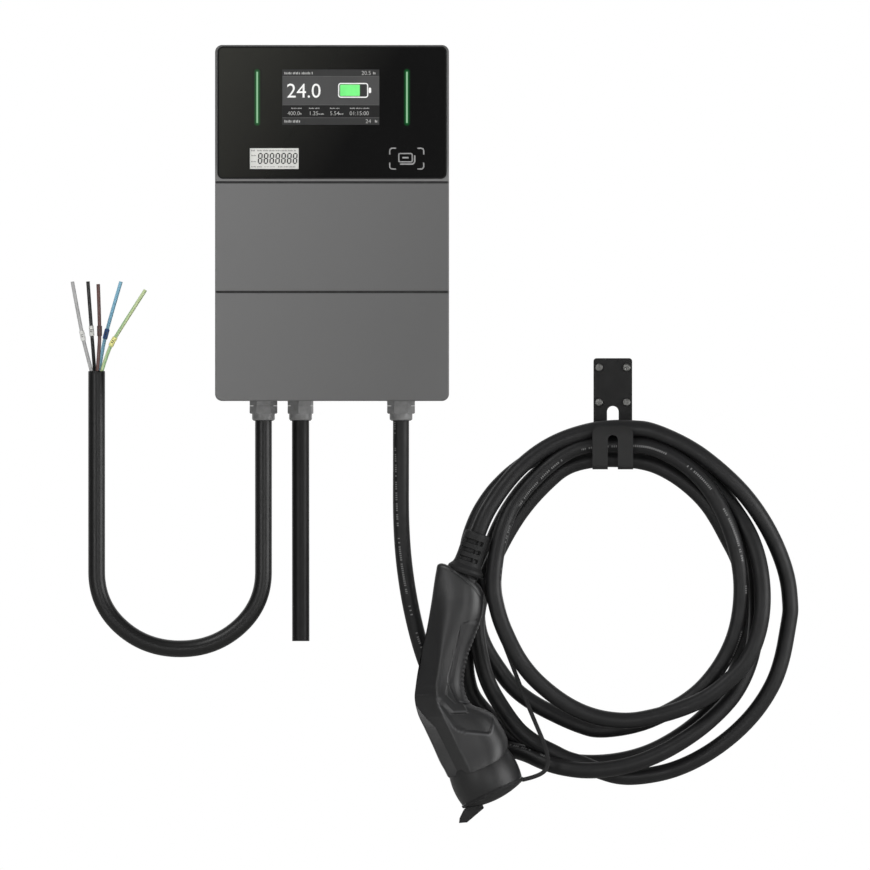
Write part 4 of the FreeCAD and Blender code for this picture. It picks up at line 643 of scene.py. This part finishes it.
# Connector's housing. Each row has the left and the right edge in the drawing plane (x, z, x, z), the half
# thickness and how square the section is.
housing = {
    "middleY": -70,
    "rows": (
        (110.5, -334.9, 127.5, -342.6, 13, 2.2), (107, -334.5, 132.5, -345.5, 16, 2.3),
        (103.6, -336.2, 140, -351, 17.6, 2.4), (102.3, -342, 146, -357.4, 18.2, 2.4),
        (100.6, -352, 148.4, -366, 18.5, 2.4), (97.3, -375, 147.9, -384.5, 18.6, 2.4),
        (92.9, -400.1, 141, -404, 18.6, 2.4), (88.2, -422, 133, -426, 18.8, 2.6),
        (84.5, -439.4, 128.8, -447.2, 19.2, 3.1), (82.2, -455, 130.4, -461.8, 21, 3),
        (81.2, -468, 137, -473, 24.5, 2.8), (84.5, -483, 151.5, -478.6, 28, 2.6),
        (91, -497, 159.5, -484, 30.4, 2.6), (98.5, -513, 165.8, -493.6, 32, 2.6),
        (105.6, -529, 171.4, -504.2, 32.4, 2.5), (109.6, -536, 172.6, -510.4, 32.4, 2.4),
        (112.4, -541.7, 172.2, -515.8, 32.2, 2.3),
    ),
    "leftSquare": 3.6, "count": (370, 260),
    # the lower edge's arc over the nose: the rows it starts and ends at, its way, its share of the thickness,
    # and how much it stands proud
    "arcRows": (13, 16), "nose": (0.4305, -0.9026), "apron": 0.27, "proud": 0.06,
    # where the front turns into the flat side on the left, how far under the middle's face it starts, how
    # steep that side and the edge facet beyond it are, how wide the side is, and how soft the turn is where
    # the thickness has passed softOver. The slant is the share of a level distance that lies square to the
    # crease, below and above the elbow.
    "crease": ((-345, 113), (-361.7, 113), (-429.6, 105.6), (-454.1, 101.8), (-464, 102.2), (-485.6, 109.1),
               (-540.7, 136.6)),
    "under": 0.985, "side": ((-348, 0.5), (-384, 1.05)), "facet": 0.34, "sideWidth": ((-462, 26), (-496, 11)),
    "soft": ((-370, 10), (-430, 0.9)), "softOver": (0, 6), "elbow": -464, "slant": (0.9, 0.99),
    # how far round the section, as a share of its thickness, the cuts run out; then the narrow grooves, with
    # their lines, depths and widths
    "cutOver": (0.1, 0.7),
    "grooves": (
        (((118, -341.7), (127.7, -349), (135.7, -355.8), (142.4, -362.7), (146.5, -368.1)), 0.6, 0.65),
        (((143, -391), (139.6, -392.2), (127, -397.1), (114.5, -446.4), (114.6, -451.6), (125.4, -471.2)),
         0.9, 0.75),
        (((124.2, -470.8), (115.6, -456.4), (113.7, -455.2), (111.8, -464.2), (120.2, -472.2)), 0.7, 0.65)),
    # recess between the elbow's pad and its own lower edge, closed on the right where the housing ends
    "recessEdge": ((103.2, -466.4), (105.8, -475.6), (113.6, -486.8), (119.4, -495), (124.2, -498.7),
                   (130, -500.3), (153.4, -502.4), (156.2, -500.6), (158.4, -494), (159.4, -485)),
    "recessClose": ((160, -470), (128.6, -462)),
    "padEdge": ((103.2, -466.4), (118.4, -481.2), (132.2, -480.8), (128.6, -473)),
    "recess": 2, "recessRound": 2.2, "padRound": 1.8,
    # painted highlights: lines along which the plastic is painted paler where its edges catch the light, how
    # much paler and how wide they are
    "paintedHighlightColour": "5A5A5C",
    "paintedHighlights": ((((103, -467.6), (105.2, -476.2), (113, -487.4), (118.8, -495.8), (123.8, -499.7), (130, -501.3),
               (153.6, -503.2), (156.9, -501.2), (158.8, -494.2)), 0.6, 0.9),
             (((104.4, -466.4), (118.4, -480.4), (131.6, -480)), 0.5, 0.7),
             (((104.6, -472), (109.6, -485.6), (137, -540.7)), 0.3, 0.6)),
}


# A size of the housing at any height, from its pairs of height and size, which start at the top
def atHeight(key, z):
    level, size = np.array(housing[key])[::-1].T
    return np.interp(z, level, size)


# Point on the housing: the section's middle, plus its half width times a squared cosine and its half
# thickness times a squared sine, the exponent being two over the squareness. To the left of the crease the
# thickness is held under two flats, by a smooth least of both.
def housingSection(at, turn):
    rows = through(housing["rows"], at)
    left, right, thick, square = rows[:, 0:2], rows[:, 2:4], rows[:, 4:5], rows[:, 5:6]
    middle, half = (left + right) / 2, (right - left) / 2
    power = 2 / np.where(np.cos(turn) < 0, housing["leftSquare"], square)
    across = np.sign(np.cos(turn)) * np.abs(np.cos(turn)) ** power
    deep = np.abs(np.sin(turn)) ** power
    x = middle[:, 0:1] + half[:, 0:1] * across
    z = middle[:, 1:2] + half[:, 1:2] * across
    past = (atHeight("crease", z) - x) * np.where(z < housing["elbow"], *housing["slant"])
    side = atHeight("side", z)
    beyond = np.maximum(past - atHeight("sideWidth", z), 0)
    flats = thick * housing["under"] - side * past - (housing["facet"] - side) * beyond
    size = thick * deep
    soft = atHeight("soft", z) * ramp(size, *housing["softOver"])
    size = (size + flats - np.sqrt((size - flats) ** 2 + soft ** 2)) / 2
    return x, np.sign(np.sin(turn)) * np.maximum(size, 0), z, deep


# Sum of bell curves of the distance to each line, by its height and width
def bells(x, z, lines):
    return sum(high * np.exp(-(awayFrom(x, z, line) / wide) ** 2) for line, high, wide in lines)


# What is cut into the housing's broad sides, as depth in the drawing plane, the same front and rear: the
# narrow grooves, and a recess that is level, with its edges rounded off
def housingDepth(x, z):
    recess = within(x, z, housing["recessEdge"] + housing["recessClose"] + housing["padEdge"][::-1])
    edge = np.minimum(awayFrom(x, z, housing["recessEdge"]) / housing["recessRound"],
                      awayFrom(x, z, housing["padEdge"]) / housing["padRound"])
    return bells(x, z, housing["grooves"]) + np.where(recess, housing["recess"] * ramp(edge, 0, 1), 0)


# The shell's moulded plastic, with painted highlights along its edges by the share in the mesh's own
# attribute
tree = surfaceFinish("moulded shell", finishes["eroded polyamide"])
paintOver(tree, addNode(tree, "Attribute", attribute_name="edge").outputs["Fac"], housing["paintedHighlightColour"])

rows, columns = housing["count"]
at = np.linspace(0, len(housing["rows"]) - 1, rows)
turn = tau * (np.arange(columns) + 0.5) / columns
x, y, z, fullness = housingSection(at, turn[None, :])
y = y - np.sign(y) * housingDepth(x, z) * ramp(fullness, *housing["cutOver"])
# share of painted highlight along the lit edges
edge = bells(x, z, housing["paintedHighlights"])
arc = ramp(at, *housing["arcRows"])[:, None]
apron = housing["apron"] * np.abs(y) * arc
x, z = x + apron * housing["nose"][0], z + apron * housing["nose"][1]
points = np.stack([x, housing["middleY"] - y * (1 + housing["proud"] * arc), z], -1)
connectorHousing = newPiece("connectorHousing", *skinFaces(points), "moulded shell", "connector_plastic",
                            smooth=60, replaced=("connector_shell_front", "connector_shell_rear"))
# the painted highlights' share, kept in the mesh's attribute named edge
share = connectorHousing.data.attributes.new("edge", "FLOAT", "POINT")
share.data.foreach_set("value", np.append(np.clip(edge, 0, 1).ravel(), [0, 0]).astype(np.float32))

# Soft inlay on the grip's finger side: the housing's own surface from the inlay's edge round to the other
# side, raised a little in its middle and waved where the fingers lie. The edge has the housing's row and
# the place; the rise starts from the sides and the ends, and the wave where the turn and the rise allow it.
inlay = {"rise": 0.6, "wave": 0.3, "pitch": 4.2, "deep": 2, "count": (150, 90), "fromSide": (0, 0.12),
         "fromEnd": (0, 0.25), "waveTurn": (0.75, 0.98), "waveRise": (0.1, 0.6), "probe": (0.02, 400),
         "edge": ((5.35, 139), (5.55, 127.6), (8.45, 115.2), (9.95, 124))}
edgeRow, edgeX = np.array(inlay["edge"]).T
at = np.linspace(edgeRow[0], edgeRow[-1], inlay["count"][0])
start, probes = inlay["probe"]
probe = np.linspace(start, np.pi - start, probes)
probeX = housingSection(at, probe[None, :])[0]
edgeTurn = [np.interp(-edge, -row, probe) for edge, row in zip(np.interp(at, edgeRow, edgeX), probeX)]
share = np.linspace(-1, 1, inlay["count"][1])
turn = np.array(edgeTurn)[:, None] * share[None, :]
x, y, z, fullness = housingSection(at, turn)
fromEnd = np.minimum(at - edgeRow[0], edgeRow[-1] - at)
rise = (inlay["rise"] * ramp(1 - np.abs(share), *inlay["fromSide"])[None, :]
        * ramp(fromEnd, *inlay["fromEnd"])[:, None])
rise = rise + (inlay["wave"] * np.cos(tau * z / inlay["pitch"]) * ramp(np.cos(turn), *inlay["waveTurn"])
               * ramp(rise, *inlay["waveRise"]))
outer, inner = (np.stack([x + out * np.cos(turn), housing["middleY"] - (y + out * np.sin(turn)), z], -1)
                for out in (rise, -inlay["deep"]))
newPiece("gripInlay", *skinFaces(np.concatenate([outer, inner[:, ::-1]], axis=1)), "soft tpe", "black_rubber",
         smooth=50, replaced=("grip_inlay",))

# Strain relief: a flared sleeve about the cable, with three rows of slots and a file of square holes cut in
# by ramps. The turns repeat after a half, so that the front and the rear are the same.
boot = {
    "foot": (131.4, -70, -340.6), "tilt": 18.5,
    "profile": ((-18, 12.5), (-5, 13), (-4.2, 17), (-3, 17.6), (-1.5, 18.2), (0.8, 17.6), (2.2, 16.4),
                (4.5, 14.6), (8, 13.7), (14, 13.3), (20, 13.2), (30, 13), (36, 12.7), (37.5, 12.2), (38, 9)),
    "rows": (10.3, 19.2, 28.3), "slot": 3.8, "rowEdge": 0.3, "deep": 2.8, "count": (230, 160),
    "cuts": ((0.09, 0.29, 0.006), (0.315, 0.365, 0.005)),       # where each cut starts and ends, and its edge
}
profile = np.array(boot["profile"])
along = np.linspace(profile[0, 0], profile[-1, 0], boot["count"][0])
radius = np.interp(along, profile[:, 0], profile[:, 1])
share = np.arange(boot["count"][1]) / boot["count"][1]
fold = np.where(share < 0.5, share, share - 0.5)
row = np.abs(along[:, None] - np.array(boot["rows"])[None, :]).min(1)
inRow = 1 - ramp(row, boot["slot"] / 2 - boot["rowEdge"], boot["slot"] / 2 + boot["rowEdge"])
inTurn = sum(ramp(fold, low - soft, low + soft) * (1 - ramp(fold, high - soft, high + soft))
             for low, high, soft in boot["cuts"])
wall = radius[:, None] - boot["deep"] * inRow[:, None] * inTurn[None, :]
tilt, turn = np.radians(boot["tilt"]), tau * share
axis = np.array([np.sin(tilt), 0, np.cos(tilt)])
across = np.array([np.cos(tilt), 0, -np.sin(tilt)])
spoke = -np.cos(turn)[:, None] * across + np.sin(turn)[:, None] * np.array([0, -1, 0])
points = np.array(boot["foot"]) + along[:, None, None] * axis + wall[..., None] * spoke[None]
strainRelief = newPiece("strainRelief", *skinFaces(points), "dull tpe", "black_rubber", smooth=35,
                        replaced=("strain_relief",))
print("connector ready")

# Panel: what the display and the meter show, the card mark and the painted glow beside the light guides.
# Each piece's front stands proud of the glass by less than a tenth, and its back lies behind the glass's
# face.
panel = {"glass": -114.85, "numeralBack": 0.01, "print": 0.02, "pane": 0.03, "mark": 0.08, "behind": -0.05}
numeralBack, printFront, paneFront, markFront, behind = (
    panel["glass"] - panel[key] for key in ("numeralBack", "print", "pane", "mark", "behind"))


# Outer and inner outline of a rounded frame, each with its own radius
def hoop(box):
    return [roundedBox(box["x"], box["z"], box["wide"] - 2 * inset, box["high"] - 2 * inset, radius)
            for inset, radius in zip((0, box["line"]), box["radius"])]


# One plate of a panel piece: a rounded rectangle, its front, and the number of its finish
def plate(x, z, wide, high, radius, front, tone=0, steps=5):
    return roundedBox(x, z, wide, high, radius, steps), None, front, behind, tone


# A row of small plain bars that stands for a line of print; its gaps come from a fixed run of numbers
def plainRow(x, z, long, high, front, tone, pitch=1.0):
    gaps = np.array([1.15, 1, 1.3, 1, 1.1, 1.75, 1.05, 1.2, 1, 1.3, 1.9] * 8)
    spots = np.cumsum(pitch * gaps) - pitch
    spots = spots[spots < long - 0.3]
    tall = high * np.resize([1, 0.8, 0.8, 1, 0.8, 0.8, 1, 0.8], len(spots))
    return [plate(x + spot, z + (bar - high) / 2, 0.62 * pitch, bar, 0.2 * pitch, front, tone, 2)
            for spot, bar in zip(spots, tall)]


display = {
    "left": -48.9, "right": 46.5, "levels": (150.9, 144.2, 116, 103.5, 96.5), "gap": 0.35,
    "numeral": ("24.0", -44.9, 123.3, 14, "LEFT"),
    "smallNumerals": (("20.5", 38.4, 145.6, 3.9, "RIGHT"), ("400.0", -43.9, 106, 3.9, "LEFT"),
                      ("1.25", -22.8, 106, 3.9, "LEFT"), ("5.54", -2.2, 106, 3.9, "LEFT"),
                      ("01:15:00", 17.2, 106, 3.9, "LEFT"), ("24", 38.4, 98.2, 3.9, "RIGHT")),
    # rows of bars: x, z, length and height
    "rows": ((-46.6, 147.3, 28.6, 2.4), (40.6, 147.3, 3.6, 2.4), (-39.8, 112.8, 11, 1.2),
             (-22.4, 112.8, 10.4, 1.2), (-1.8, 112.8, 9, 1.2), (17.8, 112.8, 19.6, 1.2),
             (-31.5, 107.4, 2, 1.6), (-13, 107.2, 5.6, 1.3), (7.2, 107.2, 4.8, 1.3), (-46.6, 100, 15, 2.6),
             (42.4, 100, 2.4, 2.4)),
}
levels = display["levels"]
wide, middle = display["right"] - display["left"] - 0.2, (display["left"] + display["right"]) / 2
panes = [plate(middle, (high + low) / 2, wide, high - low - display["gap"], 0.2, paneFront, tone, 1)
         for high, low, tone in zip(levels, levels[1:], (0, 1, 2, 0))]
panelPiece("displayPanes", panes, ["header pane", "main pane", "value pane"], "display_face")
numerals("displayNumerals", [display["numeral"]], 0, markFront, numeralBack, "white mark", "display_face")
numerals("displaySmallNumerals", display["smallNumerals"], -0.012, markFront, numeralBack, "grey mark",
         "display_face")

marks = []
for x, z, long, high in display["rows"]:
    marks += plainRow(x, z, long, high, markFront, 3, 1.0 if high < 2 else 1.35)
# battery: its shell, its end, and the full and the empty part of its level
battery = {"x": 20.8, "z": 130.4, "wide": 29.6, "high": 14.6, "line": 1.1, "radius": (2.6, 1.4),
           "parts": ((16.4, 2.4, 5.4, 1, 0), (-3.2, 19.4, 11.2, 0.8, 1), (9.6, 5.6, 11.2, 0.8, 2))}
marks.append((*hoop(battery), markFront, behind, 0))
marks += [plate(battery["x"] + x, battery["z"], long, high, radius, markFront, tone)
          for x, long, high, radius, tone in battery["parts"]]
marks += [plate(middle, z, wide, display["gap"], 0.1, markFront, 4, 1) for z in levels[1:4]]
panelPiece("displayMarks", marks, ["white mark", "green level", "header pane", "grey mark", "pane line"],
           "display_face")

# Meter: seven figures of seven bars each, with rows of small plain marks above and below
meter = {"z": 63.5, "firstX": -70.6, "step": 5.72, "wide": 3.3, "high": 9.6, "bar": 1.25, "figures": 7,
         "rows": ((-79.4, 71.2, 4, 1.5), (-73.2, 71.2, 38, 1.5), (-79.2, 66.4, 4.4, 1.3),
                  (-79.2, 60.4, 4.4, 1.3), (-79.2, 55.3, 11, 1.3), (-66.2, 55.3, 11, 0.8),
                  (-53, 55.3, 18, 1.5))}
marks = []
for x in meter["firstX"] + meter["step"] * np.arange(meter["figures"]):
    marks += [(bar, None, paneFront, behind, 0)
              for bar in sevenBars(x, meter["z"], meter["wide"], meter["high"], meter["bar"])]
for x, z, long, high in meter["rows"]:
    marks += plainRow(x, z, long, high, paneFront, 1, 0.9)
panelPiece("meterSegments", marks, ["dark segment", "grey segment"], "meter_face")

# Card mark: four brackets of two arms and a quarter circle each, round two overlapping rounded cards
card = {"x": 73.4, "z": 63.3, "wide": 33.4, "high": 20.4, "line": 1.25, "arm": 6.2, "bend": 2.6,
        "rear": ((-6.6, -5.4), (5.6, -5.4), (7.2, -4.4), (7.8, -3), (7.8, 3.2)), "rearLine": 1.5}
frontCard = {"x": card["x"] - 1.2, "z": card["z"] + 0.9, "wide": 14.4, "high": 9.4, "line": 1.2,
             "radius": (1.8, 0.9), "stripe": (6.4, 1.6, 0.7)}
marks = []
angle = np.linspace(0, np.pi / 2, 6)
arm = np.concatenate([[(card["arm"], 0)], card["bend"] * np.stack([1 - np.sin(angle), 1 - np.cos(angle)], -1),
                      [(0, card["arm"])]])
for corner in ((-1, -1), (-1, 1), (1, -1), (1, 1)):
    tip = np.array([card["x"], card["z"]]) + np.array(corner) * (card["wide"] / 2, card["high"] / 2)
    marks.append((stroke(tip - arm * corner, card["line"]), None, paneFront, behind, 0))
rear = stroke(np.array(card["rear"]) + (card["x"], card["z"]), card["rearLine"])
marks += [(*hoop(frontCard), markFront, behind, 0), (rear, None, paneFront, behind, 0),
          plate(frontCard["x"], frontCard["z"], *frontCard["stripe"], paneFront)]
panelPiece("cardMark", marks, "grey print", "black_glass")

# Light guides: pale in the middle and green at their edges, with a soft green glow painted on the glass
# beside them. The painted glow has the width, height and radius of its outer and of its inner outline.
guide = {"x": 73.6, "z": 123.5, "high": 50.3, "glow": ((9, 57, 3), (2, 50.3, 0.15))}


# Light from a guide: the colour goes from the inner to the outer one with the distance from the guide's
# middle line, up to the reach
def glowFinish(name, base, inner, outer, reach, strength, rough):
    tree = newFinish(name)
    place = addNode(tree, "SeparateXYZ", [addNode(tree, "TexCoord").outputs["Object"]])
    across = addNode(tree, "Math", [place.outputs["X"]], operation="ABSOLUTE")
    aside = addNode(tree, "Math", [across, guide["x"] * mm], operation="SUBTRACT")
    up = addNode(tree, "Math", [place.outputs["Z"], guide["z"] * mm], operation="SUBTRACT")
    off = addNode(tree, "Math", [up], operation="ABSOLUTE")
    past = addNode(tree, "Math", [off, guide["high"] / 2 * mm], operation="SUBTRACT")
    beyond = addNode(tree, "Math", [past, 0], operation="MAXIMUM")
    far = addNode(tree, "VectorMath", [addNode(tree, "CombineXYZ", [aside, beyond])], operation="LENGTH")
    share = addNode(tree, "MapRange", {"Value": far.outputs["Value"], "From Max": reach * mm},
                    interpolation_type="SMOOTHSTEP")
    colour = addNode(tree, "Mix", {0: share, 6: linear(inner), 7: linear(outer)}, data_type="RGBA")
    shader = addNode(tree, "BsdfPrincipled", {
        "Base Color": linear(base), "Roughness": rough, "IOR": 1.5, "Emission Color": colour.outputs[2],
        "Emission Strength": strength})
    addNode(tree, "OutputMaterial", {"Surface": shader})


# frosted acrylic with a green lamp behind it
glowFinish("lit acrylic", "1E4A2C", "C8F0CC", "1F8A43", reach=1.15, strength=0.62, rough=0.3)
# painted green glow on the black glass beside the guides, its base as dark as the glass on either side;
# the left one's base carries the glass's painted reflection
glowFinish("painted glow on left glass", "282825", "0F7A38", "000000", reach=3.8, strength=0.55, rough=0.07)
glowFinish("painted glow on right glass", "0B0B0B", "0F7A38", "000000", reach=3.8, strength=0.55, rough=0.07)
# painted glow plates round each guide, in front of the glass
halos = [(*(roundedBox(x, guide["z"], *size) for size in guide["glow"]), printFront, behind, tone)
         for tone, x in enumerate((-guide["x"], guide["x"]))]
panelPiece("paintedGuideGlow", halos, ["painted glow on left glass", "painted glow on right glass"], "black_glass")

# Painted shade at the glass's edge: a thin dark ring just inside its outline, for the shadow gap round the
# glass
rim = {"x": 0, "z": 108.45, "wide": 225, "high": 129.9, "line": 1.3, "radius": (5.4, 4.1)}
panelPiece("glassEdgeShade", [(*hoop(rim), printFront, behind, 0)], "edge print", "black_glass")

# Dark rubber strips in the two seams between the covers, a little behind their faces: painted shade that
# darkens the gaps
seamShade = {"front": -114.78, "back": -112, "half": 113.6, "levels": ((38.8, 41.2), (-69, -66.6))}
panelPiece("seamShadeStrips", [(roundedBox(0, (low + high) / 2, 2 * seamShade["half"], high - low, 0.3, 2), None,
                          seamShade["front"], seamShade["back"], 0) for low, high in seamShade["levels"]],
           "epdm rubber", "black_rubber")
print("panel ready")

# Finishes of the CAD nodes that stay, by what their names end with; a later one goes over an earlier one
nodeFinishes = {
    "satin abs": "_cover",
    "dark satin abs": "upper_cover",
    "moulded housing": "rear_housing",
    "black glass": "glass_panel",
    "display cell": "display_module",
    "liquid crystal": "meter_display",
    "lit acrylic": "light_guides",
    "glass filled nylon": "_gland_body _gland_nut _gland_locknut",
    "epdm rubber": "_gland_seal nose_seal housing_gasket",
    "dull tpe": "dust_cap",
    "plain polyamide": "nose_shroud contact_insert cable_clamp",
    "silver plate": "contact_sleeves",
    "powder coated steel": "cable_hook",
    "zinc plated steel": "_screws wall_bracket din_rail",
    "dull plated steel": "hook_screws",
    "solder resist": "_board card_antenna",
    "device polycarbonate": "energy_meter main_contactor fault_monitor _terminals",
}
for finish, endings in nodeFinishes.items():
    for name, node in nodes.items():
        if name.endswith(tuple(endings.split())):
            node.data.materials.clear()
            node.data.materials.append(materials[finish])


# Studio: a pale floor under the object, white all round for the camera, and large soft lamps, each with its
# place, size, power and target in metres
studio = {"floorZ": -600, "floorSize": 6000, "floor": "F2F2F0", "paler": 0.45, "around": 0.26, "lamps": (
    ("keyLamp", (-850, -1250, 950), 900, 10.5, (0, -0.1, 0)),
    ("sideLamp", (1900, -900, -250), 1600, 27, (0.25, -0.05, -0.38)),
    ("frontLamp", (560, -2700, -650), 1100, 17, (0.15, -0.05, -0.35)),
    ("stripLamp", (-1450, -2300, -350), 900, 10, (-0.2, -0.05, -0.35)))}
grid = np.linspace(-studio["floorSize"] / 2, studio["floorSize"] / 2, 9)
gx, gy = np.meshgrid(grid, grid, indexing="ij")
corners = np.stack([gx, gy, np.full_like(gx, studio["floorZ"])], -1).reshape(-1, 3) * mm
index = np.arange(gx.size).reshape(gx.shape)
faces = np.stack([index[:-1, :-1], index[1:, :-1], index[1:, 1:], index[:-1, 1:]], -1).reshape(-1, 4)
floorMesh = bpy.data.meshes.new("floor")
floorMesh.from_pydata(corners.tolist(), [], faces.tolist())
# painted board: pale and dull; the camera sees it paler than its lamps make it, its shadows stay
tree = surfaceFinish("painted board", {"colours": (studio["floor"], "EDEDEB"), "patch": 400,
                                       "rough": (0.7, 0.8), "grain": 6, "deep": 0.05})
shader = next(n for n in tree.nodes if n.type == "BSDF_PRINCIPLED")
seen = addNode(tree, "Math", [addNode(tree, "LightPath").outputs["Is Camera Ray"], studio["paler"]],
               operation="MULTIPLY")
shader.inputs["Emission Color"].default_value = linear(studio["floor"])
tree.links.new(seen.outputs[0], shader.inputs["Emission Strength"])
floorMesh.materials.append(materials["painted board"])
floor = newObject("floor", floorMesh)

for name, place, size, power, target in studio["lamps"]:
    lamp = bpy.data.lights.new(name, "AREA")
    lamp.shape, lamp.size, lamp.energy = "DISK", size * mm, power
    holder = newObject(name, lamp)
    aim = np.array(target) - np.array(place) * mm
    aim /= np.linalg.norm(aim)
    holder.location = np.array(place) * mm
    holder.rotation_euler = (np.arccos(-aim[2]), 0, np.arctan2(aim[1], aim[0]) - np.pi / 2)

# World: white for the camera and behind glass. Reflections see the same white behind the object, a paler
# ceiling, and a dim room on the camera's side.
world = bpy.data.worlds.new("studio")
world.use_nodes = True
tree = world.node_tree
tree.nodes.clear()
ray = addNode(tree, "LightPath")
seen = addNode(tree, "Math", [ray.outputs["Is Camera Ray"], ray.outputs["Is Transmission Ray"]],
               operation="MAXIMUM")
where = addNode(tree, "SeparateXYZ", [addNode(tree, "TexCoord").outputs["Generated"]])
back = addNode(tree, "MapRange", interpolation_type="SMOOTHSTEP", links={
    "Value": where.outputs["Y"], "From Min": 0.15, "From Max": 0.8, "To Min": 0.12})
ceiling = addNode(tree, "MapRange", interpolation_type="SMOOTHSTEP", links={
    "Value": where.outputs["Z"], "From Min": 0.3, "From Max": 1, "To Max": 0.4})
room = addNode(tree, "Math", [back, ceiling], operation="MAXIMUM")
plain = addNode(tree, "Mix", {0: ray.outputs["Is Glossy Ray"], 2: studio["around"], 3: room})
strength = addNode(tree, "Mix", {0: seen, 2: plain, 3: 1})
background = addNode(tree, "Background", {"Color": (1, 1, 1, 1), "Strength": strength})
addNode(tree, "OutputWorld", {"Surface": background})
scene.world = world
scene.view_settings.view_transform = "Standard"
print("studio ready")
